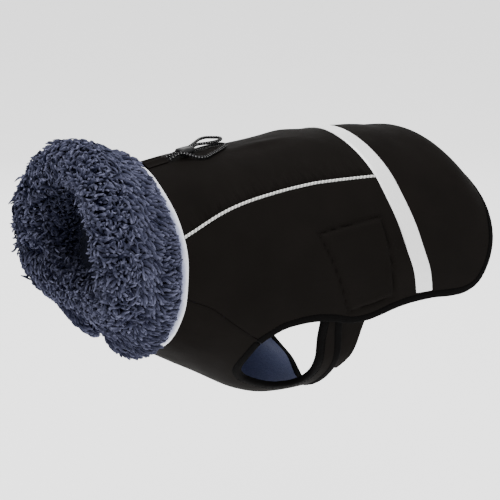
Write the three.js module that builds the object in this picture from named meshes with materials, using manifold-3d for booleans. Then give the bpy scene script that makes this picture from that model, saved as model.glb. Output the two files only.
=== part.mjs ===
// Winter coat for a medium dog, filled out as if worn.
// Millimetres, +Z up, the neck towards -X, the dog's left side towards -Y.
// The origin is where the lining touches the middle of the wearer's back.
import * as THREE from 'three';
import { mergeVertices } from 'three/addons/utils/BufferGeometryUtils.js';
import Module from 'manifold-3d';

const wasm = await Module();
wasm.setup();

// Driving dimensions of the cloth
const SHELL = 1.7;
const LINING = 1.7;
const LAYER_GAP = 0.6;
const SEAM = 0.3;
const LINING_TOP = -(SHELL + LAYER_GAP);
const CLOTH_DEPTH = SHELL + LAYER_GAP + LINING;
const BINDING_WIDTH = 8;
const BINDING_PROUD = 0.5;
const BINDING_DEPTH = CLOTH_DEPTH + 0.5;
const BINDING_CLEAR = 0.5;
const BINDING_NOSE = 2.4;
const BINDING_EASE = 0.14;
const BAND_WIDTH = 16.5;
const BAND_THICK = 1;
const PIPING_WIDTH = 2.4;
const PIPING_GAP = PIPING_WIDTH + 2 * SEAM;
const PIPING_SUNK = 0.2;
// The wings sink to their full drop above one angle and behind one place, softly over the rest
const WING = { drop: 5.4, fadeDeg: 127, overDeg: 16, from: 8, over: 24 };
const TAB_DROP = 5.4;
const TAB_THICK = 1.6;
const MM_PER_DEGREE = 1.8;

// The filled-out body: at each distance from mid back, the heights of the spine, of the widest
// line and of the belly, and the half width, all on the outer face of the shell.
const SECTIONS = [
  { x: -150, top: -10, mid: -91, bottom: -122, half: 64 },
  { x: -100, top: -4, mid: -96, bottom: -154, half: 76 },
  { x: -50, top: 3, mid: -100, bottom: -186, half: 87 },
  { x: 0, top: 4, mid: -102, bottom: -217, half: 96 },
  { x: 50, top: 7, mid: -103, bottom: -222, half: 102 },
  { x: 100, top: 7, mid: -104, bottom: -222, half: 108 },
  { x: 150, top: 4, mid: -105, bottom: -222, half: 111 },
  { x: 195, top: -7, mid: -107, bottom: -222, half: 108 },
  { x: 235, top: -57, mid: -113, bottom: -219, half: 97 },
  { x: 260, top: -103, mid: -124, bottom: -214, half: 84 },
];

// Lines on the body, each point given by its distance from mid back and its angle from the spine
const NECK_X = -118;
const PIPING_LINE = [
  { x: -118, deg: 67 }, { x: -87, deg: 57.8 }, { x: -71, deg: 53.6 }, { x: -52, deg: 49.1 },
  { x: -28, deg: 44.9 }, { x: 3, deg: 41.7 }, { x: 33, deg: 40.7 }, { x: 66, deg: 41 },
  { x: 98, deg: 41.3 }, { x: 125, deg: 41.5 },
];
const BAND_LINE = [
  { deg: 0, x: 103 }, { deg: 20, x: 103.3 }, { deg: 41, x: 106 }, { deg: 53, x: 107.5 },
  { deg: 66, x: 111.5 }, { deg: 77, x: 115.5 }, { deg: 86, x: 120.5 }, { deg: 97, x: 124.5 },
  { deg: 110, x: 129 },
];
const BAND_END_DEG = 96.3;
// Where the piping comes out from under the collar's tape, and where it meets the band
const PIPING_START_DEG = 57;
const PIPING_END_DEG = 41.5;
const CHEST_SEAM = [
  { x: -118, deg: 82 }, { x: -100, deg: 85.5 }, { x: -89, deg: 88.8 }, { x: -72, deg: 94 },
  { x: -56, deg: 102 }, { x: -44, deg: 107.2 },
];
// Free edge of the hem, from the front of the armhole along the side and round the tail
const HEM = [
  { x: -25, deg: 114.5 }, { x: -17, deg: 109.5 }, { x: -7, deg: 105.6 }, { x: 5, deg: 103.8 },
  { x: 20, deg: 103.2 }, { x: 36, deg: 104.2 }, { x: 54, deg: 106.3 }, { x: 70, deg: 106.2 },
  { x: 82, deg: 104.8 }, { x: 95, deg: 102.8 }, { x: 110, deg: 101.3 }, { x: 135, deg: 100.6 },
  { x: 155, deg: 101.4 }, { x: 172, deg: 101 }, { x: 186, deg: 98 }, { x: 196, deg: 92 },
  { x: 203.5, deg: 83.5 }, { x: 209, deg: 73 }, { x: 213, deg: 60 }, { x: 216, deg: 45 },
  { x: 218.5, deg: 25 }, { x: 219.5, deg: 0 },
];
// Free edge of the armhole below the seam: down its front, along the belly and up the wing
const ARMHOLE = [
  { x: -29.5, deg: 121 }, { x: -32, deg: 129 }, { x: -31, deg: 137 }, { x: -24, deg: 142 },
  { x: -8, deg: 142.8 }, { x: 12, deg: 142.8 }, { x: 26, deg: 141.5 }, { x: 32, deg: 135 },
  { x: 31.5, deg: 126 }, { x: 30, deg: 117 }, { x: 29.5, deg: 107 }, { x: 30, deg: 98 },
];
// What closes the armhole above, hidden by the side panel
const ARMHOLE_TOP = [{ x: 28, deg: 91 }, { x: 8, deg: 93 }, { x: -12, deg: 99 }, { x: -21, deg: 107.5 }];
// Free edge of the belly, from under the left side hem, down the wing, across the belly and up
// the right wing, which hangs further back than the left one
const BELLY_EDGE = [
  { x: 49, deg: 98 }, { x: 50.5, deg: 106 }, { x: 54, deg: 118 }, { x: 56, deg: 131 },
  { x: 56, deg: 143 }, { x: 56, deg: 154 }, { x: 61, deg: 166 }, { x: 69, deg: 178 },
  { x: 75.5, deg: 190 }, { x: 78, deg: 205 }, { x: 78, deg: 220 }, { x: 78, deg: 235 },
  { x: 76, deg: 249 }, { x: 73, deg: 262 },
];
const TAB = { front: 43, rear: 77, top: 98, bottom: 136, rearBottom: 68 };
const PATCH = [{ x: 29, deg: 65 }, { x: 87, deg: 61.5 }, { x: 92, deg: 96 }, { x: 52, deg: 100 }];
const PATCH_RISE = 0.9;

// Puckers beside the piping
const PUCKER_COUNT = 24;
const PUCKER_HEIGHT = 0.9;
const PUCKER_REACH = 16;
const PUCKER_FADE = 9;
const PUCKER_FRONT = -84;

// Soft folds of the back: place, half length along the coat, half width in degrees, and height
const BACK_FOLDS = [
  { x: 64, deg: -15, along: 16, around: 9, rise: 1.9 },
  { x: 64, deg: 15, along: 16, around: 9, rise: 1.5 },
  { x: -14, deg: 6, along: 18, around: 3.5, rise: 0.5 },
  { x: 24, deg: 5, along: 26, around: 3.5, rise: 1.3 },
];

// A fold of the empty belly that stands up inside: place, half length, half width in degrees, height
const BELLY_FOLDS = [{ x: 32, deg: 194, along: 44, around: 23, rise: 25 }];

// The turned-back fur collar: a ring where the fur turns over, and the pile on each side
const RING = { x: -145.5, lean: -5, bow: 6.5, z: -59.3, height: 58.5, sag: 8.7, half: 79, roll: 19.3 };
const FLAP_PILE = { top: 22.5, throat: 15 };
const FLAP_SHAPE = [
  { from: 0, share: 1 }, { from: 0.5, share: 0.99 }, { from: 0.72, share: 0.87 }, { from: 0.88, share: 0.62 },
  { from: 1, share: 0.28 },
];
const PILE_INSIDE = 13.5;
const BACKING_GAP = 0.5;
const FLAP_END_DEG = 167;
const COLLAR_STEP_DEG = 10;
const TAPE_EASE = 0.8;
const FLAP_ROUND_DEG = 14;
const TAPE_WIDTH = 6;
const TAPE_THICK = 2;
const TAPE_LINE = [
  { deg: 0, x: -88.5 }, { deg: 30, x: -89.5 }, { deg: 50, x: -87.5 }, { deg: 66, x: -87.5 },
  { deg: 83, x: -91 }, { deg: 106, x: -96 }, { deg: 137, x: -100 }, { deg: 160, x: -103.5 },
  { deg: 167, x: -108 }, { deg: 180, x: -110 },
];

// The drawcord: its casing on the spine, the lock and the loop behind the lock
const CASING = { front: -86, rear: -67.5, width: 20, crown: 2.6, edge: 1.2 };
const CORD_WIDTH = 2.6;
const LOCK = { x: -49.5, y: -5.8, up: 4.3, length: 16.5, width: 10.4, height: 6, corner: 2.4, bevel: 1, turn: 20 };
const RUN = CORD_WIDTH + SEAM;
const TAIL_STARTS = [{ x: -66.4, y: -3.2, up: 1.9 }, { x: -66.4, y: -8.8, up: 1.9 }];
// Places on the back by distance from mid back and from the spine, and height above the shell
const LOWER_LOOP = [
  { x: -49.3, y: -15.8, up: 3.1 }, { x: -44.5, y: -19, up: 2.1 }, { x: -38, y: -19.3, up: 1.9 },
  { x: -30, y: -16, up: 1.9 }, { x: -19.5, y: -10.4, up: 1.9 }, { x: -11, y: -4, up: 2 },
  { x: -6.2, y: 2, up: 2 }, { x: -8.5, y: 7.8, up: 2 }, { x: -15, y: 7.8, up: 1.9 },
  { x: -23, y: 3.6, up: 1.9 }, { x: -32, y: -1, up: 2.6 },
];
const UPPER_LOOP = [
  { x: -34, y: 1.8, up: 5.2 }, { x: -25, y: 2, up: 5.2 }, { x: -16.5, y: 3, up: 5.2 },
  { x: -8.8, y: 5.4, up: 5.4 }, { x: -4.6, y: 10.6, up: 6 }, { x: -7.6, y: 16, up: 7 },
  { x: -15, y: 17.4, up: 8 }, { x: -23, y: 14, up: 7.7 }, { x: -30, y: 9, up: 6.6 }, { x: -36, y: 4.8, up: 5.4 },
];

// Colours, roughness and metalness
const BLACK_SHELL = { color: 0x161616, roughness: 0.62 };
const BLACK_TRIM = { color: 0x101010, roughness: 0.75 };
const FUR = { color: 0x4a5268, roughness: 0.95 };
const FLEECE = { color: 0x5a6a95, roughness: 0.95 };
const REFLECTIVE = { color: 0xd8d8d6, roughness: 0.35 };
const PALE_TAPE = { color: 0xd9dade, roughness: 0.7 };
const PLASTIC = { color: 0x141416, roughness: 0.4 };

const coat = new THREE.Group();

// Numbers
const lerp = (a, b, t) => a + (b - a) * t;
const clamp01 = (t) => Math.min(1, Math.max(0, t));
const smooth = (t) => clamp01(t) ** 2 * (3 - 2 * clamp01(t));
const radians = THREE.MathUtils.degToRad;

// A smooth curve through the values of a table's column, by another column
function column(table, from, to) {
  const xs = table.map((row) => row[from]);
  const ys = table.map((row) => row[to]);
  const last = xs.length - 1;
  const steps = xs.slice(1).map((x, i) => x - xs[i]);
  const rates = steps.map((step, i) => (ys[i + 1] - ys[i]) / step);
  const slopes = xs.map((x, i) => {
    if (i === 0) return rates[0];
    if (i === last) return rates[last - 1];
    return (rates[i - 1] * steps[i] + rates[i] * steps[i - 1]) / (steps[i] + steps[i - 1]);
  });
  return (x) => {
    let i = 0;
    while (i < last - 1 && x > xs[i + 1]) i += 1;
    const t = Math.min(1.5, Math.max(-0.5, (x - xs[i]) / steps[i]));
    const start = (2 * t ** 3 - 3 * t ** 2 + 1) * ys[i] + (t ** 3 - 2 * t ** 2 + t) * steps[i] * slopes[i];
    const end = (3 * t ** 2 - 2 * t ** 3) * ys[i + 1] + (t ** 3 - t ** 2) * steps[i] * slopes[i + 1];
    return start + end;
  };
}

const bodyTop = column(SECTIONS, 'x', 'top');
const bodyMid = column(SECTIONS, 'x', 'mid');
const bodyBottom = column(SECTIONS, 'x', 'bottom');
const bodyHalf = column(SECTIONS, 'x', 'half');
const pipingDeg = column(PIPING_LINE, 'x', 'deg');
const bandByDeg = column(BAND_LINE, 'deg', 'x');
const bandX = (deg) => bandByDeg(Math.abs(deg));
const tapeByDeg = column(TAPE_LINE, 'deg', 'x');
const tapeX = (deg) => tapeByDeg(Math.abs(deg));

// A point of the shell's outer face
function bodyPoint(x, deg) {
  const c = Math.cos(radians(deg));
  const mid = bodyMid(x);
  const reach = c > 0 ? bodyTop(x) - mid : mid - bodyBottom(x);
  return new THREE.Vector3(x, -bodyHalf(x) * Math.sin(radians(deg)), mid + reach * c);
}

// The directions along the coat and round it at a point, for one millimetre and one degree
function directions(x, deg) {
  const along = bodyPoint(x + 0.5, deg).sub(bodyPoint(x - 0.5, deg));
  const around = bodyPoint(x, deg + 0.5).sub(bodyPoint(x, deg - 0.5));
  const out = around.clone().cross(along).normalize();
  return { along, around, out };
}

// A point held a distance out of the shell's outer face, or inside it if negative
function lifted(x, deg, out) {
  return bodyPoint(x, deg).addScaledVector(directions(x, deg).out, out);
}

// A place on the body moved sideways from a line that runs through it, to the line's left
function sidestep(place, next, distance) {
  const { along, around, out } = directions(place.x, place.deg);
  const run = along.clone().multiplyScalar(next.x - place.x);
  run.addScaledVector(around, next.deg - place.deg);
  const side = out.clone().cross(run).normalize().multiplyScalar(distance);
  const aa = along.dot(along);
  const ab = along.dot(around);
  const bb = around.dot(around);
  const a = along.dot(side);
  const b = around.dot(side);
  const det = aa * bb - ab * ab;
  return { x: place.x + (a * bb - b * ab) / det, deg: place.deg + (b * aa - a * ab) / det };
}

// Evenly spaced places on a smooth line through a table's places
function spaced(table, count, closed = false) {
  const points = table.map(({ x, deg }) => new THREE.Vector3(x, deg * MM_PER_DEGREE, 0));
  const curve = new THREE.CatmullRomCurve3(points, closed, 'centripetal');
  curve.arcLengthDivisions = 600;
  return curve.getSpacedPoints(count).map((p) => ({ x: p.x, deg: p.y / MM_PER_DEGREE }));
}

function lineLength(line) {
  let sum = 0;
  for (let i = 1; i < line.length; i += 1) {
    sum += bodyPoint(line[i].x, line[i].deg).distanceTo(bodyPoint(line[i - 1].x, line[i - 1].deg));
  }
  return sum;
}

// A line moved sideways over the body
function beside(line, distance, closed = false) {
  const last = line.length - 1;
  return line.map((place, i) => {
    const before = line[closed ? (i + last) % (last + 1) : Math.max(0, i - 1)];
    const after = line[closed ? (i + 1) % (last + 1) : Math.min(last, i + 1)];
    const ahead = { x: place.x + (after.x - before.x) / 2, deg: place.deg + (after.deg - before.deg) / 2 };
    return sidestep(place, ahead, distance);
  });
}

// The place a share of the way along a line of places
function at(line, share) {
  const s = clamp01(share) * (line.length - 1);
  const i = Math.min(line.length - 2, Math.floor(s));
  return { x: lerp(line[i].x, line[i + 1].x, s - i), deg: lerp(line[i].deg, line[i + 1].deg, s - i) };
}

const mirrored = (line) => line.map(({ x, deg }) => ({ x, deg: -deg }));
// The same on the right side, with its angles counted on past the belly
const fullTurn = (line) => line.map(({ x, deg }) => ({ x, deg: 360 - deg }));

// A place inside four border lines: two that run along the coat and two that run round it
function patchPlace(low, high, front, rear, u, v) {
  const place = {};
  for (const key of ['x', 'deg']) {
    const sides = lerp(at(low, u)[key], at(high, u)[key], v) + lerp(at(front, v)[key], at(rear, v)[key], u);
    const lowCorners = lerp(at(low, 0)[key], at(low, 1)[key], u);
    const highCorners = lerp(at(high, 0)[key], at(high, 1)[key], u);
    place[key] = sides - lerp(lowCorners, highCorners, v);
  }
  return place;
}

// Triangles
function geometryOf(points, faces) {
  let volume = 0;
  for (const [a, b, c] of faces) volume += points[a].dot(points[b].clone().cross(points[c]));
  const index = faces.flatMap(([a, b, c]) => (volume > 0 ? [a, b, c] : [a, c, b]));
  const geometry = new THREE.BufferGeometry();
  geometry.setAttribute('position', new THREE.Float32BufferAttribute(points.flatMap((p) => p.toArray()), 3));
  geometry.setIndex(index);
  geometry.computeVertexNormals();
  return geometry;
}

// A closed wall between two grids of points, outer and inner
function wall(outer, inner) {
  const rows = outer.length;
  const cols = outer[0].length;
  const points = [...outer.flat(), ...inner.flat()];
  const out = (i, j) => i * cols + j;
  const back = (i, j) => rows * cols + i * cols + j;
  const faces = [];
  const quad = (a, b, c, d) => faces.push([a, b, c], [a, c, d]);
  for (let i = 0; i < rows - 1; i += 1) {
    for (let j = 0; j < cols - 1; j += 1) {
      quad(out(i, j), out(i + 1, j), out(i + 1, j + 1), out(i, j + 1));
      quad(back(i, j), back(i, j + 1), back(i + 1, j + 1), back(i + 1, j));
    }
  }
  for (let i = 0; i < rows - 1; i += 1) {
    quad(out(i, 0), back(i, 0), back(i + 1, 0), out(i + 1, 0));
    quad(out(i, cols - 1), out(i + 1, cols - 1), back(i + 1, cols - 1), back(i, cols - 1));
  }
  for (let j = 0; j < cols - 1; j += 1) {
    quad(out(0, j), out(0, j + 1), back(0, j + 1), back(0, j));
    quad(out(rows - 1, j), back(rows - 1, j), back(rows - 1, j + 1), out(rows - 1, j + 1));
  }
  return geometryOf(points, faces);
}

// A wall over a grid of places on the body, between two heights that may vary from place to place
function clothWall(places, outside, inside) {
  const layer = (height) => places.map((row) => row.map((p) => lifted(p.x, p.deg, height(p))));
  return wall(layer(outside), layer(inside));
}

function grid(rows, cols, place) {
  return Array.from({ length: rows + 1 }, (_, i) =>
    Array.from({ length: cols + 1 }, (__, j) => place(i / rows, j / cols)));
}

// A closed bar through rings of points, with flat ends or closed on itself
function bar(rings, closed = false) {
  const count = rings[0].length;
  const points = rings.flat();
  const faces = [];
  const spans = closed ? rings.length : rings.length - 1;
  for (let i = 0; i < spans; i += 1) {
    const a = i * count;
    const b = ((i + 1) % rings.length) * count;
    for (let k = 0; k < count; k += 1) {
      const next = (k + 1) % count;
      faces.push([a + k, b + k, b + next], [a + k, b + next, a + next]);
    }
  }
  if (!closed) {
    const end = (rings.length - 1) * count;
    const flat = THREE.ShapeUtils.triangulateShape(flattened(rings[0]), []);
    const flatEnd = THREE.ShapeUtils.triangulateShape(flattened(rings[rings.length - 1]), []);
    for (const [a, b, c] of flat) faces.push([a, b, c]);
    for (const [a, b, c] of flatEnd) faces.push([end + a, end + c, end + b]);
  }
  return geometryOf(points, faces);
}

// A ring of points laid into its own plane, for filling its end
function flattened(ring) {
  const centre = ring.reduce((sum, p) => sum.add(p), new THREE.Vector3()).divideScalar(ring.length);
  const normal = new THREE.Vector3();
  ring.forEach((p, i) => {
    const q = ring[(i + 1) % ring.length];
    normal.add(p.clone().sub(centre).cross(q.clone().sub(centre)));
  });
  normal.normalize();
  const across = ring[0].clone().sub(centre).normalize();
  const up = normal.clone().cross(across);
  return ring.map((p) => {
    const d = p.clone().sub(centre);
    return new THREE.Vector2(d.dot(across), d.dot(up));
  });
}

// Cutting one closed mesh by others
function toSolid(geometry) {
  const bare = geometry.clone();
  bare.deleteAttribute('normal');
  bare.deleteAttribute('uv');
  const merged = mergeVertices(bare);
  const vertProperties = new Float32Array(merged.attributes.position.array);
  const triVerts = new Uint32Array(merged.index.array);
  return new wasm.Manifold(new wasm.Mesh({ numProp: 3, vertProperties, triVerts }));
}

function cut(geometry, cutters) {
  let solid = toSolid(geometry);
  for (const cutter of cutters) solid = solid.subtract(toSolid(cutter));
  const mesh = solid.getMesh();
  const result = new THREE.BufferGeometry();
  result.setAttribute('position', new THREE.Float32BufferAttribute(mesh.vertProperties, 3));
  result.setIndex(Array.from(mesh.triVerts));
  result.computeVertexNormals();
  return result;
}

function add(name, geometry, look) {
  const material = new THREE.MeshStandardMaterial({ metalness: 0, ...look });
  const mesh = new THREE.Mesh(geometry, material);
  mesh.name = name;
  coat.add(mesh);
}

// The binding's two stretches of free edge meet where the chest seam ends
const HEM_STEP = 8;
const ARM_STEP = 6;
const BELLY_COUNT = 40;
const edgeThrough = [...ARMHOLE].reverse().concat(HEM);
const wholeEdge = spaced(edgeThrough, 900);
const joint = wholeEdge.reduce((best, p, i) => {
  const miss = Math.hypot(p.x - HEM[0].x, (p.deg - HEM[0].deg) * MM_PER_DEGREE);
  return miss < best.miss ? { i, miss } : best;
}, { i: 0, miss: Infinity }).i;
const hemHalf = wholeEdge.slice(joint + 1);
const armholeEdge = wholeEdge.slice(0, joint).reverse();
const HEM_COUNT = Math.round(lineLength(hemHalf) / HEM_STEP);
const ARM_COUNT = Math.round(lineLength(armholeEdge) / ARM_STEP);
const pick = (line, count) => Array.from({ length: count + 1 }, (_, i) => at(line, i / count));
const hemStations = pick(hemHalf, HEM_COUNT);
const armStations = pick(armholeEdge, ARM_COUNT);

// The panels end beside the binding; left of the hem's run is the body of the coat
const CLOTH_EDGE = BINDING_WIDTH + BINDING_CLEAR;
const hemCloth = beside(pick(hemHalf, 3 * HEM_COUNT), CLOTH_EDGE);
const seamEnd = hemCloth[0];
const seamLine = spaced([...CHEST_SEAM, { x: seamEnd.x, deg: seamEnd.deg }], 40);
const seamDeg = column(seamLine, 'x', 'deg');

// How far the wings of the belly sink below the side panels
function wingSink({ x, deg }) {
  const angle = Math.abs(deg > 180 ? 360 - deg : deg);
  return -WING.drop * smooth((WING.fadeDeg - angle) / WING.overDeg) * smooth((x - WING.from) / WING.over);
}

// Height of a table's soft folds at a place
const foldHeight = (folds, p) => folds.reduce((sum, f) => {
  const a = (p.x - f.x) / f.along;
  const b = (p.deg - f.deg) / f.around;
  return sum + f.rise * Math.exp(-a * a - b * b);
}, 0);

const foldRise = (p) => foldHeight(BACK_FOLDS, p);

// How far the cloth of the chest and belly lies inside the filled-out body
const bellySink = (p) => wingSink(p) - foldHeight(BELLY_FOLDS, p);

// Every other column of the back panel stands out beside the piping
function puckerRise(p, edgeDeg, odd) {
  if (!odd) return 0;
  const edge = (edgeDeg - Math.abs(p.deg)) * MM_PER_DEGREE;
  const rear = bandX(p.deg) - BAND_WIDTH / 2;
  const ends = smooth((rear - p.x) / PUCKER_FADE) * smooth((p.x - PUCKER_FRONT) / PUCKER_FADE);
  return PUCKER_HEIGHT * smooth(1 - edge / PUCKER_REACH) * smooth((edge + 2) / 4) * ends;
}

// Half the gap that the piping fills, in degrees
const halfGapDeg = (x) => PIPING_GAP / 2 / directions(x, pipingDeg(x)).around.length();

// The back panel, between the two lines of piping, puckered beside them
function backPanel() {
  const columns = 2 * PUCKER_COUNT;
  const rows = 12;
  const places = grid(columns, rows, (u, v) => {
    let x = lerp(NECK_X + SEAM, bandX(0), u);
    let deg = 0;
    for (let turn = 0; turn < 4; turn += 1) {
      deg = (2 * v - 1) * (pipingDeg(x) - halfGapDeg(x));
      x = lerp(NECK_X + SEAM, bandX(deg) - SEAM / 2, u);
    }
    return { x, deg };
  });
  places.forEach((row, i) => row.forEach((p) => {
    p.rise = foldRise(p) + puckerRise(p, pipingDeg(p.x) - halfGapDeg(p.x), i % 2 === 1);
  }));
  return clothWall(places, (p) => p.rise, () => -SHELL);
}

// How far a place lies inside the stitched rectangle, in millimetres, negative outside
function insidePatch({ x, deg }) {
  const flat = PATCH.map((p) => [p.x, p.deg * MM_PER_DEGREE]);
  const depths = flat.map(([ax, ay], i) => {
    const [bx, by] = flat[(i + 1) % flat.length];
    const length = Math.hypot(bx - ax, by - ay);
    return ((bx - ax) * (deg * MM_PER_DEGREE - ay) - (by - ay) * (x - ax)) / length;
  });
  return Math.min(...depths);
}

// A side panel, from the piping down to the chest seam, the armhole and the hem
function sidePanel(side) {
  const columns = 22;
  const rows = 11;
  const fine = 120;
  const rearTop = bandX(PIPING_END_DEG) - SEAM / 2;
  const upper = pick([{ x: NECK_X + SEAM, deg: 0 }, { x: rearTop, deg: 0 }], fine)
    .map(({ x }) => ({ x, deg: pipingDeg(x) + halfGapDeg(x) }));
  const seam = beside(seamLine.filter(({ x }) => x > NECK_X + 2), SEAM / 2);
  const start = { x: NECK_X + SEAM, deg: seamDeg(NECK_X + SEAM) - SEAM / 2 / MM_PER_DEGREE };
  const hemPart = hemCloth.slice(1).filter(({ x, deg }) => x < bandX(deg) - SEAM / 2 - 1);
  const endDeg = hemPart[hemPart.length - 1].deg;
  const end = { x: bandX(endDeg) - SEAM / 2, deg: endDeg };
  const lowerRaw = [start, ...seam.slice(0, -1), ...hemPart, end];
  const lower = byLength(lowerRaw, fine);
  const front = pick([upper[0], lower[0]], fine);
  const rear = pick([upper[fine], lower[fine]], fine).map(({ deg }) => ({ x: bandX(deg) - SEAM / 2, deg }));
  const places = grid(columns, rows, (u, v) => {
    const p = patchPlace(upper, lower, front, rear, u, v);
    return { x: p.x, deg: side * p.deg };
  });
  const rise = (p) => PATCH_RISE * smooth((insidePatch({ x: p.x, deg: Math.abs(p.deg) }) + 2) / 5);
  return clothWall(places, rise, () => -SHELL);
}

// A line's places spaced evenly by their true length
function byLength(line, count) {
  const lengths = [0];
  for (let i = 1; i < line.length; i += 1) {
    lengths.push(lengths[i - 1] + Math.max(1e-6, lineLength([line[i - 1], line[i]])));
  }
  const total = lengths[lengths.length - 1];
  return Array.from({ length: count + 1 }, (_, k) => {
    const goal = (total * k) / count;
    let i = 0;
    while (i < line.length - 2 && lengths[i + 1] < goal) i += 1;
    const t = clamp01((goal - lengths[i]) / (lengths[i + 1] - lengths[i]));
    return { x: lerp(line[i].x, line[i + 1].x, t), deg: lerp(line[i].deg, line[i + 1].deg, t) };
  });
}

// The corner of the tail, where its rounded end begins
const TAIL_CORNER = { x: 150, deg: 93 };
const onTail = ({ x, deg }) => x >= TAIL_CORNER.x && deg <= TAIL_CORNER.deg;
const hemSideCloth = hemCloth.filter((place) => !onTail(place));
const hemTailCloth = hemCloth.filter(onTail);
const toFarSide = (half) => [...half, ...mirrored(half).reverse().slice(1)];

// The rear panel, from the band to the rounded tail
function rearPanel() {
  const rows = 11;
  const columns = 20;
  const fine = 120;
  const start = SEAM / 2;
  const sidePart = hemSideCloth.filter(({ x, deg }) => x > bandX(deg) + start + 1);
  const first = { x: bandX(sidePart[0].deg) + start, deg: sidePart[0].deg };
  const left = byLength([first, ...sidePart, hemTailCloth[0]], fine);
  const tail = byLength(toFarSide(hemTailCloth), fine);
  const band = pick([left[0], { x: 0, deg: -left[0].deg }], fine)
    .map(({ deg }) => ({ x: bandX(deg) + start, deg }));
  const places = grid(rows, columns, (u, v) => patchPlace(left, mirrored(left), band, tail, u, v));
  return clothWall(places, () => 0, () => -SHELL);
}

// The lining under the back, the sides and the rear, in three pieces: each is given by the shares
// of the way from neck to tail and from left to right that it covers
const LINING_SEAM = 0.58;
const LINING_PIECES = {
  left: { from: 0, to: LINING_SEAM, low: 0, high: 0.5, rows: 12, columns: 7 },
  right: { from: 0, to: LINING_SEAM, low: 0.5, high: 1, rows: 12, columns: 7 },
  rear: { from: LINING_SEAM, to: 1, low: 0, high: 1, rows: 8, columns: 14 },
};

function bodyLining(piece) {
  const fine = 160;
  const seam = seamLine.filter(({ x }) => x > NECK_X + 2);
  const start = { x: NECK_X + SEAM, deg: seamDeg(NECK_X + SEAM) - SEAM / MM_PER_DEGREE };
  const side = beside(seam.slice(0, -1), SEAM);
  const sideHem = beside([...hemSideCloth, hemTailCloth[0]], SEAM);
  const halfTail = [sideHem[sideHem.length - 1], ...beside(hemTailCloth, SEAM).slice(1)];
  const left = byLength([start, ...side, ...sideHem.slice(1)], fine);
  const tail = byLength(toFarSide(halfTail), fine);
  const neck = pick([start, mirrored([start])[0]], fine);
  const halfSeam = (share) => (share > 0 && share < 1 ? SEAM / 2 / lineLength(left) : 0);
  const from = piece.from + halfSeam(piece.from);
  const to = piece.to - halfSeam(piece.to);
  const low = piece.low + halfSeam(piece.low);
  const high = piece.high - halfSeam(piece.high);
  const places = grid(piece.rows, piece.columns, (u, v) =>
    patchPlace(left, mirrored(left), neck, tail, lerp(from, to, u), lerp(low, high, v)));
  return clothWall(places, () => LINING_TOP, () => LINING_TOP - LINING);
}

// What the armholes take out of the chest panel and its lining
function armholeCutter(side) {
  const loop = [...armStations, ...ARMHOLE_TOP];
  const edge = beside(loop, -CLOTH_EDGE, true);
  edge[0] = seamEnd;
  const centre = { x: 2, deg: 120 };
  const shares = [0.35, 0.7, 1];
  const above = 9;
  const below = -18;
  const points = [];
  const faces = [];
  const layer = (height) => shares.map((share) => edge.map((p) => {
    const x = lerp(centre.x, p.x, share);
    const deg = lerp(centre.deg, p.deg, share);
    points.push(lifted(x, side * deg, height));
    return points.length - 1;
  }));
  points.push(lifted(centre.x, side * centre.deg, above), lifted(centre.x, side * centre.deg, below));
  const top = layer(above);
  const bottom = layer(below);
  const count = edge.length;
  for (let k = 0; k < count; k += 1) {
    const n = (k + 1) % count;
    faces.push([0, top[0][k], top[0][n]], [1, bottom[0][n], bottom[0][k]]);
    for (let r = 1; r < top.length; r += 1) {
      faces.push([top[r - 1][k], top[r][k], top[r][n]], [top[r - 1][k], top[r][n], top[r - 1][n]]);
      faces.push([bottom[r - 1][k], bottom[r][n], bottom[r][k]], [bottom[r - 1][k], bottom[r - 1][n], bottom[r][n]]);
    }
    const last = top.length - 1;
    faces.push([top[last][k], bottom[last][k], bottom[last][n]], [top[last][k], bottom[last][n], top[last][n]]);
  }
  return geometryOf(points, faces);
}

// The chest and belly in one piece, with a wing each side behind the armhole
function chestWall(outside, inside, seamGap) {
  const rows = 13;
  const columns = 24;
  const bellyCloth = beside(spaced(BELLY_EDGE, 120), -CLOTH_EDGE);
  const rearX = column(bellyCloth, 'deg', 'x');
  const wingTop = BELLY_EDGE[0].deg;
  const upperEdge = column([
    { x: seamEnd.x, deg: seamEnd.deg }, { x: -22, deg: 110 }, { x: 16, deg: 106 },
    { x: 30, deg: wingTop }, { x: 60, deg: wingTop },
  ], 'x', 'deg');
  const low = (x) => (x < seamEnd.x ? seamDeg(x) + seamGap / MM_PER_DEGREE : Math.max(wingTop, upperEdge(x)));
  const places = grid(rows, columns, (u, v) => {
    let deg = 180;
    let x = 0;
    for (let turn = 0; turn < 6; turn += 1) {
      x = lerp(NECK_X + SEAM, rearX(Math.min(360 - wingTop, Math.max(wingTop, deg))), u);
      deg = lerp(low(x), 360 - low(x), v);
    }
    return { x, deg };
  });
  const blank = clothWall(places, (p) => bellySink(p) + outside, (p) => bellySink(p) + inside);
  return cut(blank, [armholeCutter(1), armholeCutter(-1)]);
}

// Folded binding along a free edge; the edge's cloth lies to the left or, if negative, the right
function binding(stations, hand, sinkOf = () => 0) {
  const width = BINDING_WIDTH * hand;
  const top = BINDING_PROUD;
  const bottom = -BINDING_DEPTH;
  const middle = (top + bottom) / 2;
  const inset = beside(stations, width * BINDING_EASE);
  const far = beside(stations, width);
  const rings = stations.map((p, i) => {
    const held = (place, out) => lifted(place.x, place.deg, sinkOf(place) + out);
    return [
      held(p, middle + BINDING_NOSE / 2),
      held(p, middle - BINDING_NOSE / 2),
      held(inset[i], bottom),
      held(far[i], bottom),
      held(far[i], top),
      held(inset[i], top),
    ];
  });
  return bar(rings);
}

// The collar's middle surface, from the neck seam (0) to the ring where the fur turns over (1)
function ringPoint(deg) {
  const t = radians(deg);
  return new THREE.Vector3(
    RING.x + RING.lean * Math.cos(t) + RING.bow * Math.cos(2 * t),
    -RING.half * Math.sin(t),
    RING.z + RING.height * Math.cos(t) + RING.sag * Math.cos(2 * t),
  );
}

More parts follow.
